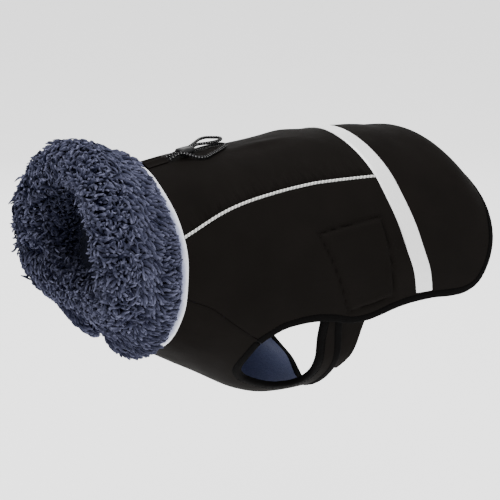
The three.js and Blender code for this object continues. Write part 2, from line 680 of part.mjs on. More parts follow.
function collarMiddle(deg, t) {
  const neck = bodyPoint(NECK_X, deg);
  const ring = ringPoint(deg);
  const span = ring.distanceTo(neck);
  const leave = directions(NECK_X, deg).along.normalize().multiplyScalar(-span);
  const arrive = ring.clone().sub(neck);
  return neck.multiplyScalar(2 * t ** 3 - 3 * t ** 2 + 1)
    .addScaledVector(leave, t ** 3 - 2 * t ** 2 + t)
    .addScaledVector(ring, 3 * t ** 2 - 2 * t ** 3)
    .addScaledVector(arrive, t ** 3 - t ** 2);
}

function collarFrame(deg, t) {
  const step = 0.02;
  const along = collarMiddle(deg, t + step).sub(collarMiddle(deg, t - step)).normalize();
  const around = collarMiddle(deg + 1, t).sub(collarMiddle(deg - 1, t)).normalize();
  const out = along.clone().cross(around).normalize();
  return { point: collarMiddle(deg, t), along, out };
}

function collarLifted(deg, t, out) {
  const frame = collarFrame(deg, t);
  return frame.point.addScaledVector(frame.out, out);
}

// The fur inside the neck with the rolled rim
function collarTube() {
  const around = 360 / COLLAR_STEP_DEG;
  const legs = [0, 0.33, 0.66];
  const rimSteps = 7;
  const rings = Array.from({ length: around }, (_, k) => {
    const deg = (360 * k) / around;
    const ring = legs.map((t) => collarLifted(deg, t, -lerp(PILE_INSIDE, RING.roll, t)));
    const { point, along, out } = collarFrame(deg, 1);
    for (let s = 0; s <= rimSteps; s += 1) {
      const turn = Math.PI * (s / rimSteps) - Math.PI / 2;
      ring.push(point.clone()
        .addScaledVector(out, RING.roll * Math.sin(turn))
        .addScaledVector(along, RING.roll * Math.cos(turn)));
    }
    ring.push(collarLifted(deg, 1, 0));
    ring.push(collarLifted(deg, 0.5, -BACKING_GAP));
    ring.push(collarLifted(deg, 0, -BACKING_GAP));
    return ring;
  });
  return bar(rings, true);
}

// The pile's height on the turned-back flap at the throat's rounded ends
const flapEnd = (deg) => Math.sqrt(Math.max(0.04, 1 - clamp01(
  (Math.abs(deg) - FLAP_END_DEG + FLAP_ROUND_DEG) / FLAP_ROUND_DEG) ** 2));

// The angles of the flap's sections, level with those of the tube
function flapAngles() {
  const half = Math.floor(FLAP_END_DEG / COLLAR_STEP_DEG);
  const inner = Array.from({ length: 2 * half + 1 }, (_, k) => (k - half) * COLLAR_STEP_DEG);
  return [-FLAP_END_DEG, ...inner, FLAP_END_DEG];
}

// The turned-back flap
function collarFlap() {
  const pileShare = column(FLAP_SHAPE, 'from', 'share');
  const rings = flapAngles().map((deg) => {
    const top = (1 + Math.cos(radians(deg))) / 2;
    const pile = (share) => Math.max(BACKING_GAP + 1,
      flapEnd(deg) * lerp(FLAP_PILE.throat, FLAP_PILE.top, top) * pileShare(share));
    const rear = tapeX(deg) - TAPE_WIDTH - SEAM;
    const mid = lerp(NECK_X, rear, 0.5);
    const base = BACKING_GAP;
    const rim = collarFrame(deg, 1);
    const nearRim = (out) => rim.point.clone().addScaledVector(rim.along, -1.5 * SEAM)
      .addScaledVector(rim.out, out);
    return [
      nearRim(Math.max(base + 1, RING.roll * flapEnd(deg))),
      nearRim(base),
      collarLifted(deg, 0.5, base),
      collarLifted(deg, 0, base),
      lifted(mid, deg, base),
      lifted(rear, deg, base),
      lifted(rear, deg, pile(1)),
      lifted(rear - 4, deg, pile(0.92)),
      lifted(mid, deg, pile(0.78)),
      lifted(NECK_X + 2, deg, pile(0.6)),
      collarLifted(deg, 0.3, pile(0.4)),
      collarLifted(deg, 0.66, pile(0.2)),
    ];
  });
  return bar(rings);
}

function collarTape() {
  const rings = flapAngles().map((deg) => {
    const rear = tapeX(deg);
    const low = BACKING_GAP;
    const high = BACKING_GAP + TAPE_THICK;
    return [
      lifted(rear - TAPE_WIDTH, deg, low),
      lifted(rear - TAPE_WIDTH, deg, high),
      lifted(rear - TAPE_EASE, deg, high),
      lifted(rear, deg, low + TAPE_THICK / 2),
      lifted(rear - TAPE_EASE, deg, low),
    ];
  });
  return bar(rings);
}

// The reflective band over the seam between the side panels and the rear panel
function reflectiveBand() {
  const rows = 46;
  const places = grid(rows, 1, (u, v) => {
    const deg = lerp(-BAND_END_DEG, BAND_END_DEG, u);
    return { x: bandX(deg) + (v - 0.5) * BAND_WIDTH, deg };
  });
  const base = (p) => SEAM + foldRise(p);
  return clothWall(places, (p) => base(p) + BAND_THICK, base);
}

// The same geometry with its shared points joined
function joined(geometry) {
  geometry.deleteAttribute('uv');
  geometry.deleteAttribute('normal');
  const merged = mergeVertices(geometry, 1e-4);
  merged.computeVertexNormals();
  return merged;
}

function roundSection(width, sides) {
  const shape = new THREE.Shape();
  for (let k = 0; k <= sides; k += 1) {
    const turn = (2 * Math.PI * k) / sides;
    const place = [(width / 2) * Math.cos(turn), (width / 2) * Math.sin(turn)];
    if (k) shape.lineTo(...place);
    else shape.moveTo(...place);
  }
  return shape;
}

function cordAlong(points, width, sides, steps) {
  const extrudePath = new THREE.CatmullRomCurve3(points, false, 'centripetal');
  const options = { steps, bevelEnabled: false, extrudePath, curveSegments: 1 };
  return joined(new THREE.ExtrudeGeometry(roundSection(width, sides), options));
}

function piping(side) {
  const count = 14;
  const rear = bandX(PIPING_END_DEG) - BAND_WIDTH / 2 - SEAM;
  const front = tapeX(PIPING_START_DEG) + 2 * SEAM;
  const places = Array.from({ length: count + 1 }, (_, i) => lerp(front, rear, i / count));
  const points = places.map((x) => lifted(x, side * pipingDeg(x), -PIPING_SUNK));
  return cordAlong(points, PIPING_WIDTH, 6, 26);
}

// A strap tab inside the wing, held under the side hem; its places are for the left side
function strapTab(side) {
  const places = grid(6, 3, (u, v) => {
    const deg = lerp(TAB.top, TAB.bottom, u) + 5 * v * u;
    const rear = lerp(TAB.rear, TAB.rearBottom, u ** 2);
    return { x: lerp(TAB.front, rear, v), deg: side > 0 ? deg : 360 - deg };
  });
  const sink = (p) => wingSink({ x: TAB.front, deg: p.deg }) - foldHeight(BELLY_FOLDS, p);
  return clothWall(places, (p) => sink(p) - TAB_DROP, (p) => sink(p) - TAB_DROP - TAB_THICK);
}

// The casing that the drawcord leaves
function casing() {
  const halfDeg = (x) => CASING.width / 2 / directions(x, 0).around.length();
  const places = grid(5, 6, (u, v) => {
    const x = lerp(CASING.front, CASING.rear, u);
    return { x, deg: (2 * v - 1) * halfDeg(x), v };
  });
  const base = (p) => SEAM + foldRise(p);
  const crown = (p) => lerp(CASING.edge, CASING.crown, 1 - (2 * p.v - 1) ** 2);
  return clothWall(places, (p) => base(p) + crown(p), base);
}

// The height of the shell at a distance from the spine
function backHeight(x, y) {
  const side = y / bodyHalf(x);
  return bodyMid(x) + (bodyTop(x) - bodyMid(x)) * Math.sqrt(1 - side * side);
}

const overBack = ({ x, y, up }) => new THREE.Vector3(x, y, backHeight(x, y) + up);

// A place in the lock's own directions: along the coat, towards the dog's right, and up
function nearLock(ahead, aside, up = 0) {
  const c = Math.cos(radians(LOCK.turn));
  const s = Math.sin(radians(LOCK.turn));
  const centre = overBack(LOCK);
  return centre.add(new THREE.Vector3(ahead * c - aside * s, ahead * s + aside * c, up));
}

// The lock: a rounded block with its corners eased
function lockBody() {
  const w = LOCK.width / 2;
  const h = LOCK.height / 2;
  const r = LOCK.corner;
  const shape = new THREE.Shape();
  shape.moveTo(-w + r, -h);
  shape.lineTo(w - r, -h);
  shape.quadraticCurveTo(w, -h, w, -h + r);
  shape.lineTo(w, h - r);
  shape.quadraticCurveTo(w, h, w - r, h);
  shape.lineTo(-w + r, h);
  shape.quadraticCurveTo(-w, h, -w, h - r);
  shape.lineTo(-w, -h + r);
  shape.quadraticCurveTo(-w, -h, -w + r, -h);
  const bevel = LOCK.bevel;
  const depth = LOCK.length - 2 * bevel;
  const options = {
    depth,
    bevelEnabled: true,
    bevelThickness: bevel,
    bevelSize: bevel,
    bevelOffset: -bevel,
    bevelSegments: 1,
    curveSegments: 3,
  };
  const geometry = new THREE.ExtrudeGeometry(shape, options);
  geometry.translate(0, 0, -depth / 2);
  geometry.rotateX(Math.PI / 2);
  geometry.rotateZ(Math.PI / 2 + radians(LOCK.turn));
  geometry.translate(...overBack(LOCK).toArray());
  return joined(geometry);
}

const LOCK_END = LOCK.length / 2 + SEAM;

// A run of cord from the casing to the lock
function drawcordTail(start, aside) {
  const route = [overBack(start), nearLock(-LOCK_END - 2.5, aside, -0.3), nearLock(-LOCK_END, aside)];
  return cordAlong(route, CORD_WIDTH, 8, 4);
}

// The loop that leaves the lock's near side and comes back to its rear end
function lowerLoop() {
  const start = nearLock(-1, -LOCK.width / 2 - RUN / 2 - SEAM, -0.8);
  const end = nearLock(LOCK_END, -RUN / 2 - 1, -0.6);
  return cordAlong([start, ...LOWER_LOOP.map(overBack), end], CORD_WIDTH, 8, 22);
}

// The loop that leaves the lock's rear end and comes back to it
function upperLoop() {
  const start = nearLock(LOCK_END, RUN / 2, 0.3);
  const end = nearLock(LOCK_END, 1.6 * RUN, 0.3);
  return cordAlong([start, ...UPPER_LOOP.map(overBack), end], CORD_WIDTH, 8, 20);
}

// The coat
add('back_panel', backPanel(), BLACK_SHELL);
add('left_side_panel', sidePanel(1), BLACK_SHELL);
add('right_side_panel', sidePanel(-1), BLACK_SHELL);
add('rear_panel', rearPanel(), BLACK_SHELL);
add('chest_panel', chestWall(0, -SHELL, 1.5 * SEAM), BLACK_SHELL);
for (const [name, piece] of Object.entries(LINING_PIECES)) add(`${name}_body_lining`, bodyLining(piece), FLEECE);
add('chest_lining', chestWall(LINING_TOP, LINING_TOP - LINING, 2 * SEAM), FLEECE);
add('reflective_band', reflectiveBand(), REFLECTIVE);
add('left_piping', piping(1), REFLECTIVE);
add('right_piping', piping(-1), REFLECTIVE);
add('hem_binding', binding(toFarSide(hemStations), 1), BLACK_TRIM);
add('left_armhole_binding', binding(armStations, -1, bellySink), BLACK_TRIM);
add('right_armhole_binding', binding(fullTurn(armStations), 1, bellySink), BLACK_TRIM);
add('belly_binding', binding(spaced(BELLY_EDGE, BELLY_COUNT), -1, bellySink), BLACK_TRIM);
add('left_strap_tab', strapTab(1), BLACK_TRIM);
add('right_strap_tab', strapTab(-1), BLACK_TRIM);
add('collar_fur_inside', collarTube(), FUR);
add('collar_fur_flap', collarFlap(), FUR);
add('collar_tape', collarTape(), PALE_TAPE);
add('drawcord_casing', casing(), BLACK_SHELL);
add('cord_lock', lockBody(), PLASTIC);
add('drawcord_left_tail', drawcordTail(TAIL_STARTS[1], -2.6), BLACK_TRIM);
add('drawcord_right_tail', drawcordTail(TAIL_STARTS[0], 2.6), BLACK_TRIM);
add('drawcord_lower_loop', lowerLoop(), BLACK_TRIM);
add('drawcord_upper_loop', upperLoop(), BLACK_TRIM);

export default coat;
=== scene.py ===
"""Winter coat for a medium dog: its cloth, fur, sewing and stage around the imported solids."""

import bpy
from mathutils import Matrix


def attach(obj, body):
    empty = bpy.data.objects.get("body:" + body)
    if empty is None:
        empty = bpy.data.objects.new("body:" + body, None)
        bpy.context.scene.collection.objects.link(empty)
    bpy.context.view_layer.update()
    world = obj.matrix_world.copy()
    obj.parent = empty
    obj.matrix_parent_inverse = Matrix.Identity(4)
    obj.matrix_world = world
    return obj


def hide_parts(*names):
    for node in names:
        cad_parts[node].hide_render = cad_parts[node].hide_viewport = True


bl_info = {
    "name": "Dog Winter Coat",
    "version": (1, 0, 0),
    "blender": (4, 5, 0),
    "location": "3D View > Sidebar > Dog Coat",
    "description": "Makes the cloth, fur collar, trim and stage of a dog's winter coat",
    "category": "Object",
}

import math

import bpy
import numpy as np
from mathutils import Vector

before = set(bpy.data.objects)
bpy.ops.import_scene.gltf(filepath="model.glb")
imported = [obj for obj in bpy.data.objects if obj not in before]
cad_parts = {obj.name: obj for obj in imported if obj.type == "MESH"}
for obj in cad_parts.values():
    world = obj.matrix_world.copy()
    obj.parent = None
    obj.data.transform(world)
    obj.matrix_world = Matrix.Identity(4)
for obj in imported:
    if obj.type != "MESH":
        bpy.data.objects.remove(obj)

# Lengths below are in millimetres until a mesh is made of them
MM = 0.001
SEED = 11

# The filled-out body: distance from mid back, heights of spine, widest line and belly, half width
SECTIONS = [
    {"x": -150, "top": -10, "mid": -91, "bottom": -122, "half": 64},
    {"x": -100, "top": -4, "mid": -96, "bottom": -154, "half": 76},
    {"x": -50, "top": 3, "mid": -100, "bottom": -186, "half": 87},
    {"x": 0, "top": 4, "mid": -102, "bottom": -217, "half": 96},
    {"x": 50, "top": 7, "mid": -103, "bottom": -222, "half": 102},
    {"x": 100, "top": 7, "mid": -104, "bottom": -222, "half": 108},
    {"x": 150, "top": 4, "mid": -105, "bottom": -222, "half": 111},
    {"x": 195, "top": -7, "mid": -107, "bottom": -222, "half": 108},
    {"x": 235, "top": -57, "mid": -113, "bottom": -219, "half": 97},
    {"x": 260, "top": -103, "mid": -124, "bottom": -214, "half": 84},
]

# Lines on the body: distance from mid back, and degrees from the spine with the left side positive
PIPING_LINE = [
    (-118, 67), (-87, 57.8), (-71, 53.6), (-52, 49.1), (-28, 44.9), (3, 41.7), (33, 40.7),
    (66, 41), (98, 41.3), (125, 41.5),
]
BAND_LINE = [
    (103, 0), (103.3, 20), (106, 41), (107.5, 53), (111.5, 66), (115.5, 77), (120.5, 86),
    (124.5, 97), (129, 110),
]
CHEST_SEAM = [(-118, 82), (-100, 85.5), (-89, 88.8), (-72, 94), (-56, 102), (-44, 107.2)]
HEM = [
    (-25, 114.5), (-17, 109.5), (-7, 105.6), (5, 103.8), (20, 103.2), (36, 104.2), (54, 106.3),
    (70, 106.2), (82, 104.8), (95, 102.8), (110, 101.3), (135, 100.6), (155, 101.4), (172, 101),
    (186, 98), (196, 92), (203.5, 83.5), (209, 73), (213, 60), (216, 45), (218.5, 25), (219.5, 0),
]
ARMHOLE = [
    (-29.5, 121), (-32, 129), (-31, 137), (-24, 142), (-8, 142.8), (12, 142.8), (26, 141.5),
    (32, 135), (31.5, 126), (30, 117), (29.5, 107), (30, 98),
]
ARMHOLE_TOP = [(28, 91), (8, 93), (-12, 99), (-21, 107.5)]
BELLY_EDGE = [
    (49, 98), (50.5, 106), (54, 118), (56, 131), (56, 143), (56, 154), (61, 166), (69, 178),
    (75.5, 190), (78, 205), (78, 220), (78, 235), (76, 249), (73, 262),
]
TAPE_LINE = [
    (-88.5, 0), (-89.5, 30), (-87.5, 50), (-87.5, 66), (-91, 83), (-96, 106), (-100, 137),
    (-103.5, 160), (-108, 167), (-110, 180),
]
PATCH = [(29, 65), (87, 61.5), (92, 96), (52, 100)]
NECK_X = -118
MM_PER_DEGREE = 1.8
BAND_END_DEG = 96.3
TAIL_CORNER_DEG = 93

# How far inside the free edges the cloth ends, and the chest seam under the hem
CLOTH_EDGE = 5.5
SEAM_UNDER_HEM = 8.5

# Room left beside a seam, the piping and the neck, and how far the lining's seam lies below the shell's
SEAM_GAP = 0.15
PIPING_GAP_DEG = 0.35
NECK_GAP = 0.3
LINING_OVERLAP = 2.5

# Lining: height of its outer face against the shell's, and thickness
LINING_TOP = -2.3
LINING = 1.7

# How far the wings lie below the side panels, and where that fades out round and along the body
WING = {"drop": 5.4, "fade_deg": 127, "over_deg": 16, "from": 8, "over": 24}
TAB = {"front": 43, "rear": 77, "top": 98, "bottom": 136, "rear_bottom": 68, "drop": 5.4, "thick": 1.6}

# Soft folds of the back: place, half length, half width in degrees, height
BACK_FOLDS = [
    {"x": 64, "deg": -15, "along": 16, "around": 9, "rise": 1.9},
    {"x": 64, "deg": 15, "along": 16, "around": 9, "rise": 1.5},
    {"x": -14, "deg": 6, "along": 18, "around": 3.5, "rise": 0.5},
    {"x": 24, "deg": 5, "along": 26, "around": 3.5, "rise": 1.3},
]

# Gathers beside the seams: from where, spacing, length and height
PUCKER_FRONT = -84
BACK_GATHERS = {"pace": 4.6, "reach": 15, "height": 1.9}
BROAD_GATHERS = {"pace": 9.1, "reach": 30, "height": 1.1}
SIDE_GATHERS = {"pace": 4.9, "reach": 8, "height": 0.9}
SEAM_GATHERS = {"pace": 6.5, "reach": 8, "height": 0.5}

# A fold of the empty belly that stands up inside
BELLY_FOLDS = [{"x": 32, "deg": 194, "along": 44, "around": 23, "rise": 25}]

# The turned-back fur collar
RING = {
    "x": -145.5, "lean": -5, "bow": 6.5, "z": -59.3, "height": 58.5, "sag": 8.7, "half": 79, "roll": 19.3,
}
FLAP_PILE = {"top": 22.5, "throat": 15}
FLAP_SHAPE = [(0, 1), (0.5, 0.99), (0.72, 0.87), (0.88, 0.62), (1, 0.28)]
PILE_INSIDE = 13.5
BACKING_GAP = 0.5
FLAP_END_DEG = 167
FLAP_ROUND_DEG = 14
TAPE_WIDTH = 6
FUR_TO_TAPE = 0.3

# The drawcord: places by distance from mid back and from the spine, and height above the shell
CASING = {"front": -86, "rear": -67.5, "width": 20, "crown": 2.6, "edge": 1.2}
LOCK = {"x": -49.5, "y": -5.8, "up": 4.3, "length": 16.5, "width": 10.4, "height": 6, "turn": 20}
TAIL_STARTS = [(-66.4, -3.2, 1.9), (-66.4, -8.8, 1.9)]
LOWER_LOOP = [
    (-52.4, -12.9, 4.4), (-48.4, -15.4, 3.2), (-43.8, -18.2, 2.2), (-37.5, -19.2, 1.9), (-30, -16, 1.9),
    (-19.5, -10.4, 1.9), (-10.8, -4.6, 2), (-6, 1.2, 2), (-7.6, 7.2, 2), (-13.6, 8.9, 1.9),
    (-22.5, 4.2, 1.9), (-32, -1, 2.6),
]
UPPER_LOOP = [
    (-34, 1.8, 5.2), (-25, 2, 5.2), (-16.5, 3, 5.2), (-9.6, 5.2, 5.4), (-5.6, 8.8, 5.8), (-5, 13.2, 6.5),
    (-8.8, 16.8, 7.2), (-15, 17.6, 8), (-23, 14, 7.7), (-30, 9, 6.6), (-36, 4.8, 5.4),
]


# Numbers and lines

def smooth(t):
    """0 up to 1 with level ends."""
    t = np.clip(t, 0, 1)
    return t * t * (3 - 2 * t)


def bell(t):
    """1 in the middle, falling away on both sides."""
    return np.exp(-t * t)


def lerp(a, b, t):
    return a + (b - a) * t


def unit(v):
    return v / np.maximum(np.linalg.norm(v, axis=-1, keepdims=True), 1e-12)


def bend(t, start, end, leave, arrive):
    """A smooth run between two values, with its rates at both."""
    first = (2 * t**3 - 3 * t**2 + 1) * start + (t**3 - 2 * t**2 + t) * leave
    return first + (3 * t**2 - 2 * t**3) * end + (t**3 - t**2) * arrive


def grid(rows, columns, low=(0, 0), high=(1, 1)):
    """Even shares down the rows and across the columns."""
    down = np.linspace(low[0], high[0], rows + 1)
    across = np.linspace(low[1], high[1], columns + 1)
    return np.meshgrid(down, across, indexing="ij")


def curve_through(xs, ys):
    """A smooth function through values at rising places."""
    xs, ys = np.array(xs, float), np.array(ys, float)
    steps = np.diff(xs)
    rates = np.diff(ys) / steps
    slopes = np.concatenate([rates[:1], np.zeros(len(xs) - 2), rates[-1:]])
    slopes[1:-1] = (rates[:-1] * steps[1:] + rates[1:] * steps[:-1]) / (steps[1:] + steps[:-1])

    def value(x):
        i = np.searchsorted(xs[1:-1], x, side="left")
        t = np.clip((x - xs[i]) / steps[i], -0.5, 1.5)
        return bend(t, ys[i], ys[i + 1], steps[i] * slopes[i], steps[i] * slopes[i + 1])

    return value


def by_degree(line):
    """A line's distance from mid back as a function of degrees, the same on both sides."""
    x, deg = zip(*line)
    curve = curve_through(deg, x)

    def value(deg):
        return curve(np.abs(deg))

    return value


def of_sections(name):
    return curve_through([s["x"] for s in SECTIONS], [s[name] for s in SECTIONS])


body_top, body_mid, body_bottom, body_half = (of_sections(n) for n in ("top", "mid", "bottom", "half"))
piping_deg = curve_through(*zip(*PIPING_LINE))
flap_share = curve_through(*zip(*FLAP_SHAPE))
band_x = by_degree(BAND_LINE)
tape_x = by_degree(TAPE_LINE)


def body_point(x, deg):
    """A point of the shell's outer face."""
    x, deg = np.broadcast_arrays(np.asarray(x, float), np.asarray(deg, float))
    turn, mid = np.radians(deg), body_mid(x)
    c = np.cos(turn)
    reach = np.where(c > 0, body_top(x) - mid, mid - body_bottom(x))
    return np.stack([x, -body_half(x) * np.sin(turn), mid + reach * c], -1)


def directions(x, deg):
    """Along the coat, round it and out of it, at places on the body."""
    along = body_point(x + 0.5, deg) - body_point(x - 0.5, deg)
    around = body_point(x, deg + 0.5) - body_point(x, deg - 0.5)
    return along, around, unit(np.cross(around, along))


def lifted(x, deg, height):
    """Points held a height out of the shell's outer face."""
    x, deg, height = np.broadcast_arrays(np.asarray(x, float), np.asarray(deg, float), height)
    return body_point(x, deg) + directions(x, deg)[2] * height[..., None]


def run_lengths(points):
    """Each point's distance along a line of points."""
    steps = np.linalg.norm(np.diff(points, axis=0), axis=1)
    return np.concatenate([[0], np.cumsum(np.maximum(steps, 1e-6))])


def spaced(line, lengths, count):
    """A line's points at even steps of the lengths along it."""
    goals = np.linspace(0, lengths[-1], count + 1)
    return np.stack([np.interp(goals, lengths, column) for column in line.T], -1)


def evenly(line, count):
    """A line's points spaced evenly by length."""
    return spaced(line, run_lengths(line), count)


def by_length(line, count):
    """A line's places spaced evenly by their true length on the body."""
    return spaced(line, run_lengths(body_point(*line.T)), count)


def smooth_line(knots, count):
    """Evenly spaced points on a smooth curve through the knots."""
    p = np.asarray(knots, float)
    p = np.vstack([2 * p[0] - p[1], p, 2 * p[-1] - p[-2]])
    t = np.linspace(0, 1, 40, endpoint=False)[:, None]
    runs = []
    for a, b, c, d in zip(p, p[1:], p[2:], p[3:]):
        s = [max(np.linalg.norm(v), 1e-9) ** 0.5 for v in (b - a, c - b, d - c)]
        leave = ((b - a) / s[0] - (c - a) / (s[0] + s[1]) + (c - b) / s[1]) * s[1]
        arrive = ((c - b) / s[1] - (d - b) / (s[1] + s[2]) + (d - c) / s[2]) * s[1]
        runs.append(bend(t, b, c, leave, arrive))
    return evenly(np.vstack([*runs, p[-2]]), count)


def body_line(knots, count):
    """Evenly spaced places on a smooth line over the body."""
    flat = np.array(knots, float) * [1, MM_PER_DEGREE]
    return smooth_line(flat, count) / [1, MM_PER_DEGREE]


def beside(line, distance, closed=False):
    """A line over the body moved sideways, to its left."""
    step = (np.roll(line, -1, 0) - np.roll(line, 1, 0)) / 2 if closed else np.gradient(line, axis=0)
    along, around, out = directions(line[:, 0], line[:, 1])
    side = unit(np.cross(out, along * step[:, :1] + around * step[:, 1:])) * distance
    aa, ab, bb = (along * along).sum(1), (along * around).sum(1), (around * around).sum(1)
    a, b = (along * side).sum(1), (around * side).sum(1)
    det = aa * bb - ab * ab
    return line + np.stack([(a * bb - b * ab) / det, (b * aa - a * ab) / det], -1)


def mirrored(line):
    return line * [1, -1]


def there_and_back(line):
    """A line of the left side carried on over the spine to the right side."""
    return np.vstack([line, mirrored(line)[::-1][1:]])


def at(line, share):
    """Places at shares of the way along an evenly spaced line."""
    s = np.clip(share, 0, 1) * (len(line) - 1)
    i = np.minimum(len(line) - 2, np.floor(s).astype(int))
    return line[i] + (line[i + 1] - line[i]) * (s - i)[..., None]


def patch_places(low, high, front, rear, rows, columns):
    """Places inside four border lines: two along the coat and two round it."""
    u, v = grid(rows, columns)
    down, across = u[..., None], v[..., None]
    sides = lerp(at(low, u), at(high, u), across) + lerp(at(front, v), at(rear, v), down)
    return sides - lerp(lerp(low[0], low[-1], down), lerp(high[0], high[-1], down), across)


def inside_loop(loop, places):
    """Which places lie inside a closed loop."""
    x, y = places[..., 0], places[..., 1]
    hit = np.zeros(x.shape, bool)
    for (ax, ay), (bx, by) in zip(loop, np.roll(loop, -1, 0)):
        if ay != by:
            crossing = ax + (y - ay) * (bx - ax) / (by - ay)
            hit ^= ((ay > y) != (by > y)) & (x < crossing)
    return hit


class Ripples:
    """Smooth uneven ripples over the body, the same each time."""

    WAVES = 14

    def __init__(self, seed, size):
        rng = np.random.default_rng(SEED + seed)
        turn = rng.uniform(0, 2 * np.pi, self.WAVES)
        pace = 2 * np.pi / size * rng.uniform(0.6, 1.5, self.WAVES)
        self.waves = np.stack([pace * np.cos(turn), pace * np.sin(turn)], -1)
        self.starts = rng.uniform(0, 2 * np.pi, self.WAVES)

    def __call__(self, x, deg):
        flat = np.stack(np.broadcast_arrays(x, deg * MM_PER_DEGREE), -1)
        return np.sin(flat @ self.waves.T + self.starts).mean(-1) * 1.6


# Free edges of the cloth

whole_edge = body_line(ARMHOLE[::-1] + HEM, 900)
joint = int(np.linalg.norm((whole_edge - HEM[0]) * [1, MM_PER_DEGREE], axis=1).argmin())
hem_half = whole_edge[joint + 1:]
armhole_edge = whole_edge[:joint][::-1]
belly_line = body_line(BELLY_EDGE, 120)
hem_cloth = beside(hem_half, CLOTH_EDGE)
seam_line = body_line(CHEST_SEAM + [tuple(beside(hem_half, SEAM_UNDER_HEM)[0])], 40)
seam_deg = curve_through(seam_line[:, 0], seam_line[:, 1])
seam_end = seam_line[-1]
front_seam = seam_line[seam_line[:, 0] > NECK_X + 2]
armhole_loop = beside(np.vstack([armhole_edge[::6], ARMHOLE_TOP]), -CLOTH_EDGE, True)


# The cloth's small shape

broad = Ripples(1, 70)
middling = Ripples(2, 26)
small = Ripples(3, 9)
gather_phase = Ripples(4, 34)
gather_size = Ripples(5, 16)
nap = Ripples(8, 7)
binding_pucker = Ripples(21, 11)


def level(x, deg):
    """The height of what follows the filled-out body."""
    return 0 * x


def fold_height(folds, x, deg):
    rise = 0
    for f in folds:
        rise = rise + f["rise"] * bell((x - f["x"]) / f["along"]) * bell((deg - f["deg"]) / f["around"])
    return rise


def fold_rise(x, deg):
    return fold_height(BACK_FOLDS, x, deg)


def wing_sink(x, deg):
    """How far the wings of the belly lie below the side panels."""
    angle = np.abs(np.where(deg > 180, 360 - deg, deg))
    fade = smooth((WING["fade_deg"] - angle) / WING["over_deg"]) * smooth((x - WING["from"]) / WING["over"])
    return -WING["drop"] * fade


def belly_sink(x, deg):
    """How far the cloth of the chest and belly lies inside the filled-out body."""
    return wing_sink(x, deg) - fold_height(BELLY_FOLDS, x, deg)


def patch_depth(x, deg):
    """How far places lie inside the stitched rectangle."""
    flat = np.array(PATCH, float) * [1, MM_PER_DEGREE]
    depths = []
    for (ax, ay), (bx, by) in zip(flat, np.roll(flat, -1, 0)):
        across = (bx - ax) * (np.abs(deg) * MM_PER_DEGREE - ay) - (by - ay) * (x - ax)
        depths.append(across / math.hypot(bx - ax, by - ay))
    return np.min(depths, axis=0)


def seam_dip(distance, depth=0.7, reach=3.2):
    """The soft trough where cloth turns in to a seam."""
    return -depth * (1 - smooth(distance / reach))


def gathers(x, deg, distance, pace, reach, height):
    """Small gathers that run away from a seam, uneven in size and place."""
    phase = 2 * np.pi * x / pace + 2.2 * gather_phase(x, deg)
    fade = smooth(1 - distance / (reach * (1 + 0.5 * gather_size(x, deg * 0))))
    return height * fade * (0.5 + 0.5 * np.sin(phase)) * smooth((distance + 0.3) / 4)


def cloth_swell(x, deg):
    return 0.35 * broad(x, deg) + 0.16 * middling(x, deg) + 0.03 * small(x, deg)


def from_chest_seam(x, size, hand):
    """Distance from the chest seam, below it (1) or above it (-1); beyond its end it is out of reach."""
    away = hand * (size - seam_deg(np.minimum(x, seam_end[0]))) * MM_PER_DEGREE
    return np.where(x < seam_end[0], away, 30)


def back_height(x, deg):
    edge = (piping_deg(x) - np.abs(deg)) * MM_PER_DEGREE
    ends = smooth((band_x(deg) - 8 - x) / 9) * smooth((x - PUCKER_FRONT) / 9)
    rise = fold_rise(x, deg) + cloth_swell(x, deg) + gathers(x, deg, edge, **BACK_GATHERS) * ends
    rise += gathers(x + 40, deg, edge, **BROAD_GATHERS) * ends
    return rise + seam_dip(edge) + seam_dip(band_x(deg) - x, 0.4)


def side_height(x, deg):
    size = np.abs(deg)
    edge, seam = (size - piping_deg(x)) * MM_PER_DEGREE, from_chest_seam(x, size, -1)
    rise = cloth_swell(x, deg + 200) + gathers(x, deg + 90, seam, **SEAM_GATHERS)
    rise += gathers(x, deg + 40, edge, **SIDE_GATHERS) * smooth((x - PUCKER_FRONT) / 9)
    # The stitched rectangle is a raised pad with a sewn groove round it and a ridge inside that
    depth = patch_depth(x, deg)
    rise += 0.9 * smooth((depth + 1) / 3.2) - 1.9 * bell((depth + 1.4) / 1.3)
    rise += 0.7 * bell((depth - 3.2) / 2.2) * (1 + small(x, deg))
    return rise + seam_dip(edge) + seam_dip(seam) + seam_dip(band_x(deg) - x, 0.4)


def rear_height(x, deg):
    return cloth_swell(x, deg + 90) + seam_dip(x - band_x(deg), 0.4)


def chest_height(x, deg):
    seam = from_chest_seam(x, 180 - np.abs(deg - 180), 1)
    rise = cloth_swell(x, deg + 30) + gathers(x, deg, seam, **SEAM_GATHERS)
    return rise + seam_dip(seam) + belly_sink(x, deg)


def lining_height(x, deg):
    return LINING_TOP + 0.25 * nap(x, deg)


def chest_lining_height(x, deg):
    return lining_height(x, deg) + belly_sink(x, deg)


# Meshes

def make_piece(name, points, faces, slot, nodes=(), fields=None, sharp=None, finish=None):
    """A new piece of the coat from points in millimetres and faces of up to four corners."""
    corners = [[v for k, v in enumerate(face) if v != face[k - 1]] for face in faces.tolist()]
    mesh = bpy.data.meshes.new(name)
    mesh.from_pydata((points * MM).tolist(), [], corners)
    for label, values in (fields or {}).items():
        mesh.attributes.new(label, "FLOAT", "POINT").data.foreach_set("value", values.astype(np.float32))
    mesh.shade_smooth()
    if sharp:
        mesh.set_sharp_from_angle(angle=math.radians(sharp))
    mesh.materials.append(finish_for(finish or slot))
    mesh.validate()
    piece = bpy.data.objects.new(name, mesh)
    bpy.context.scene.collection.objects.link(piece)
    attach(piece, "root")
    if nodes:
        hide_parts(*nodes)
    return piece


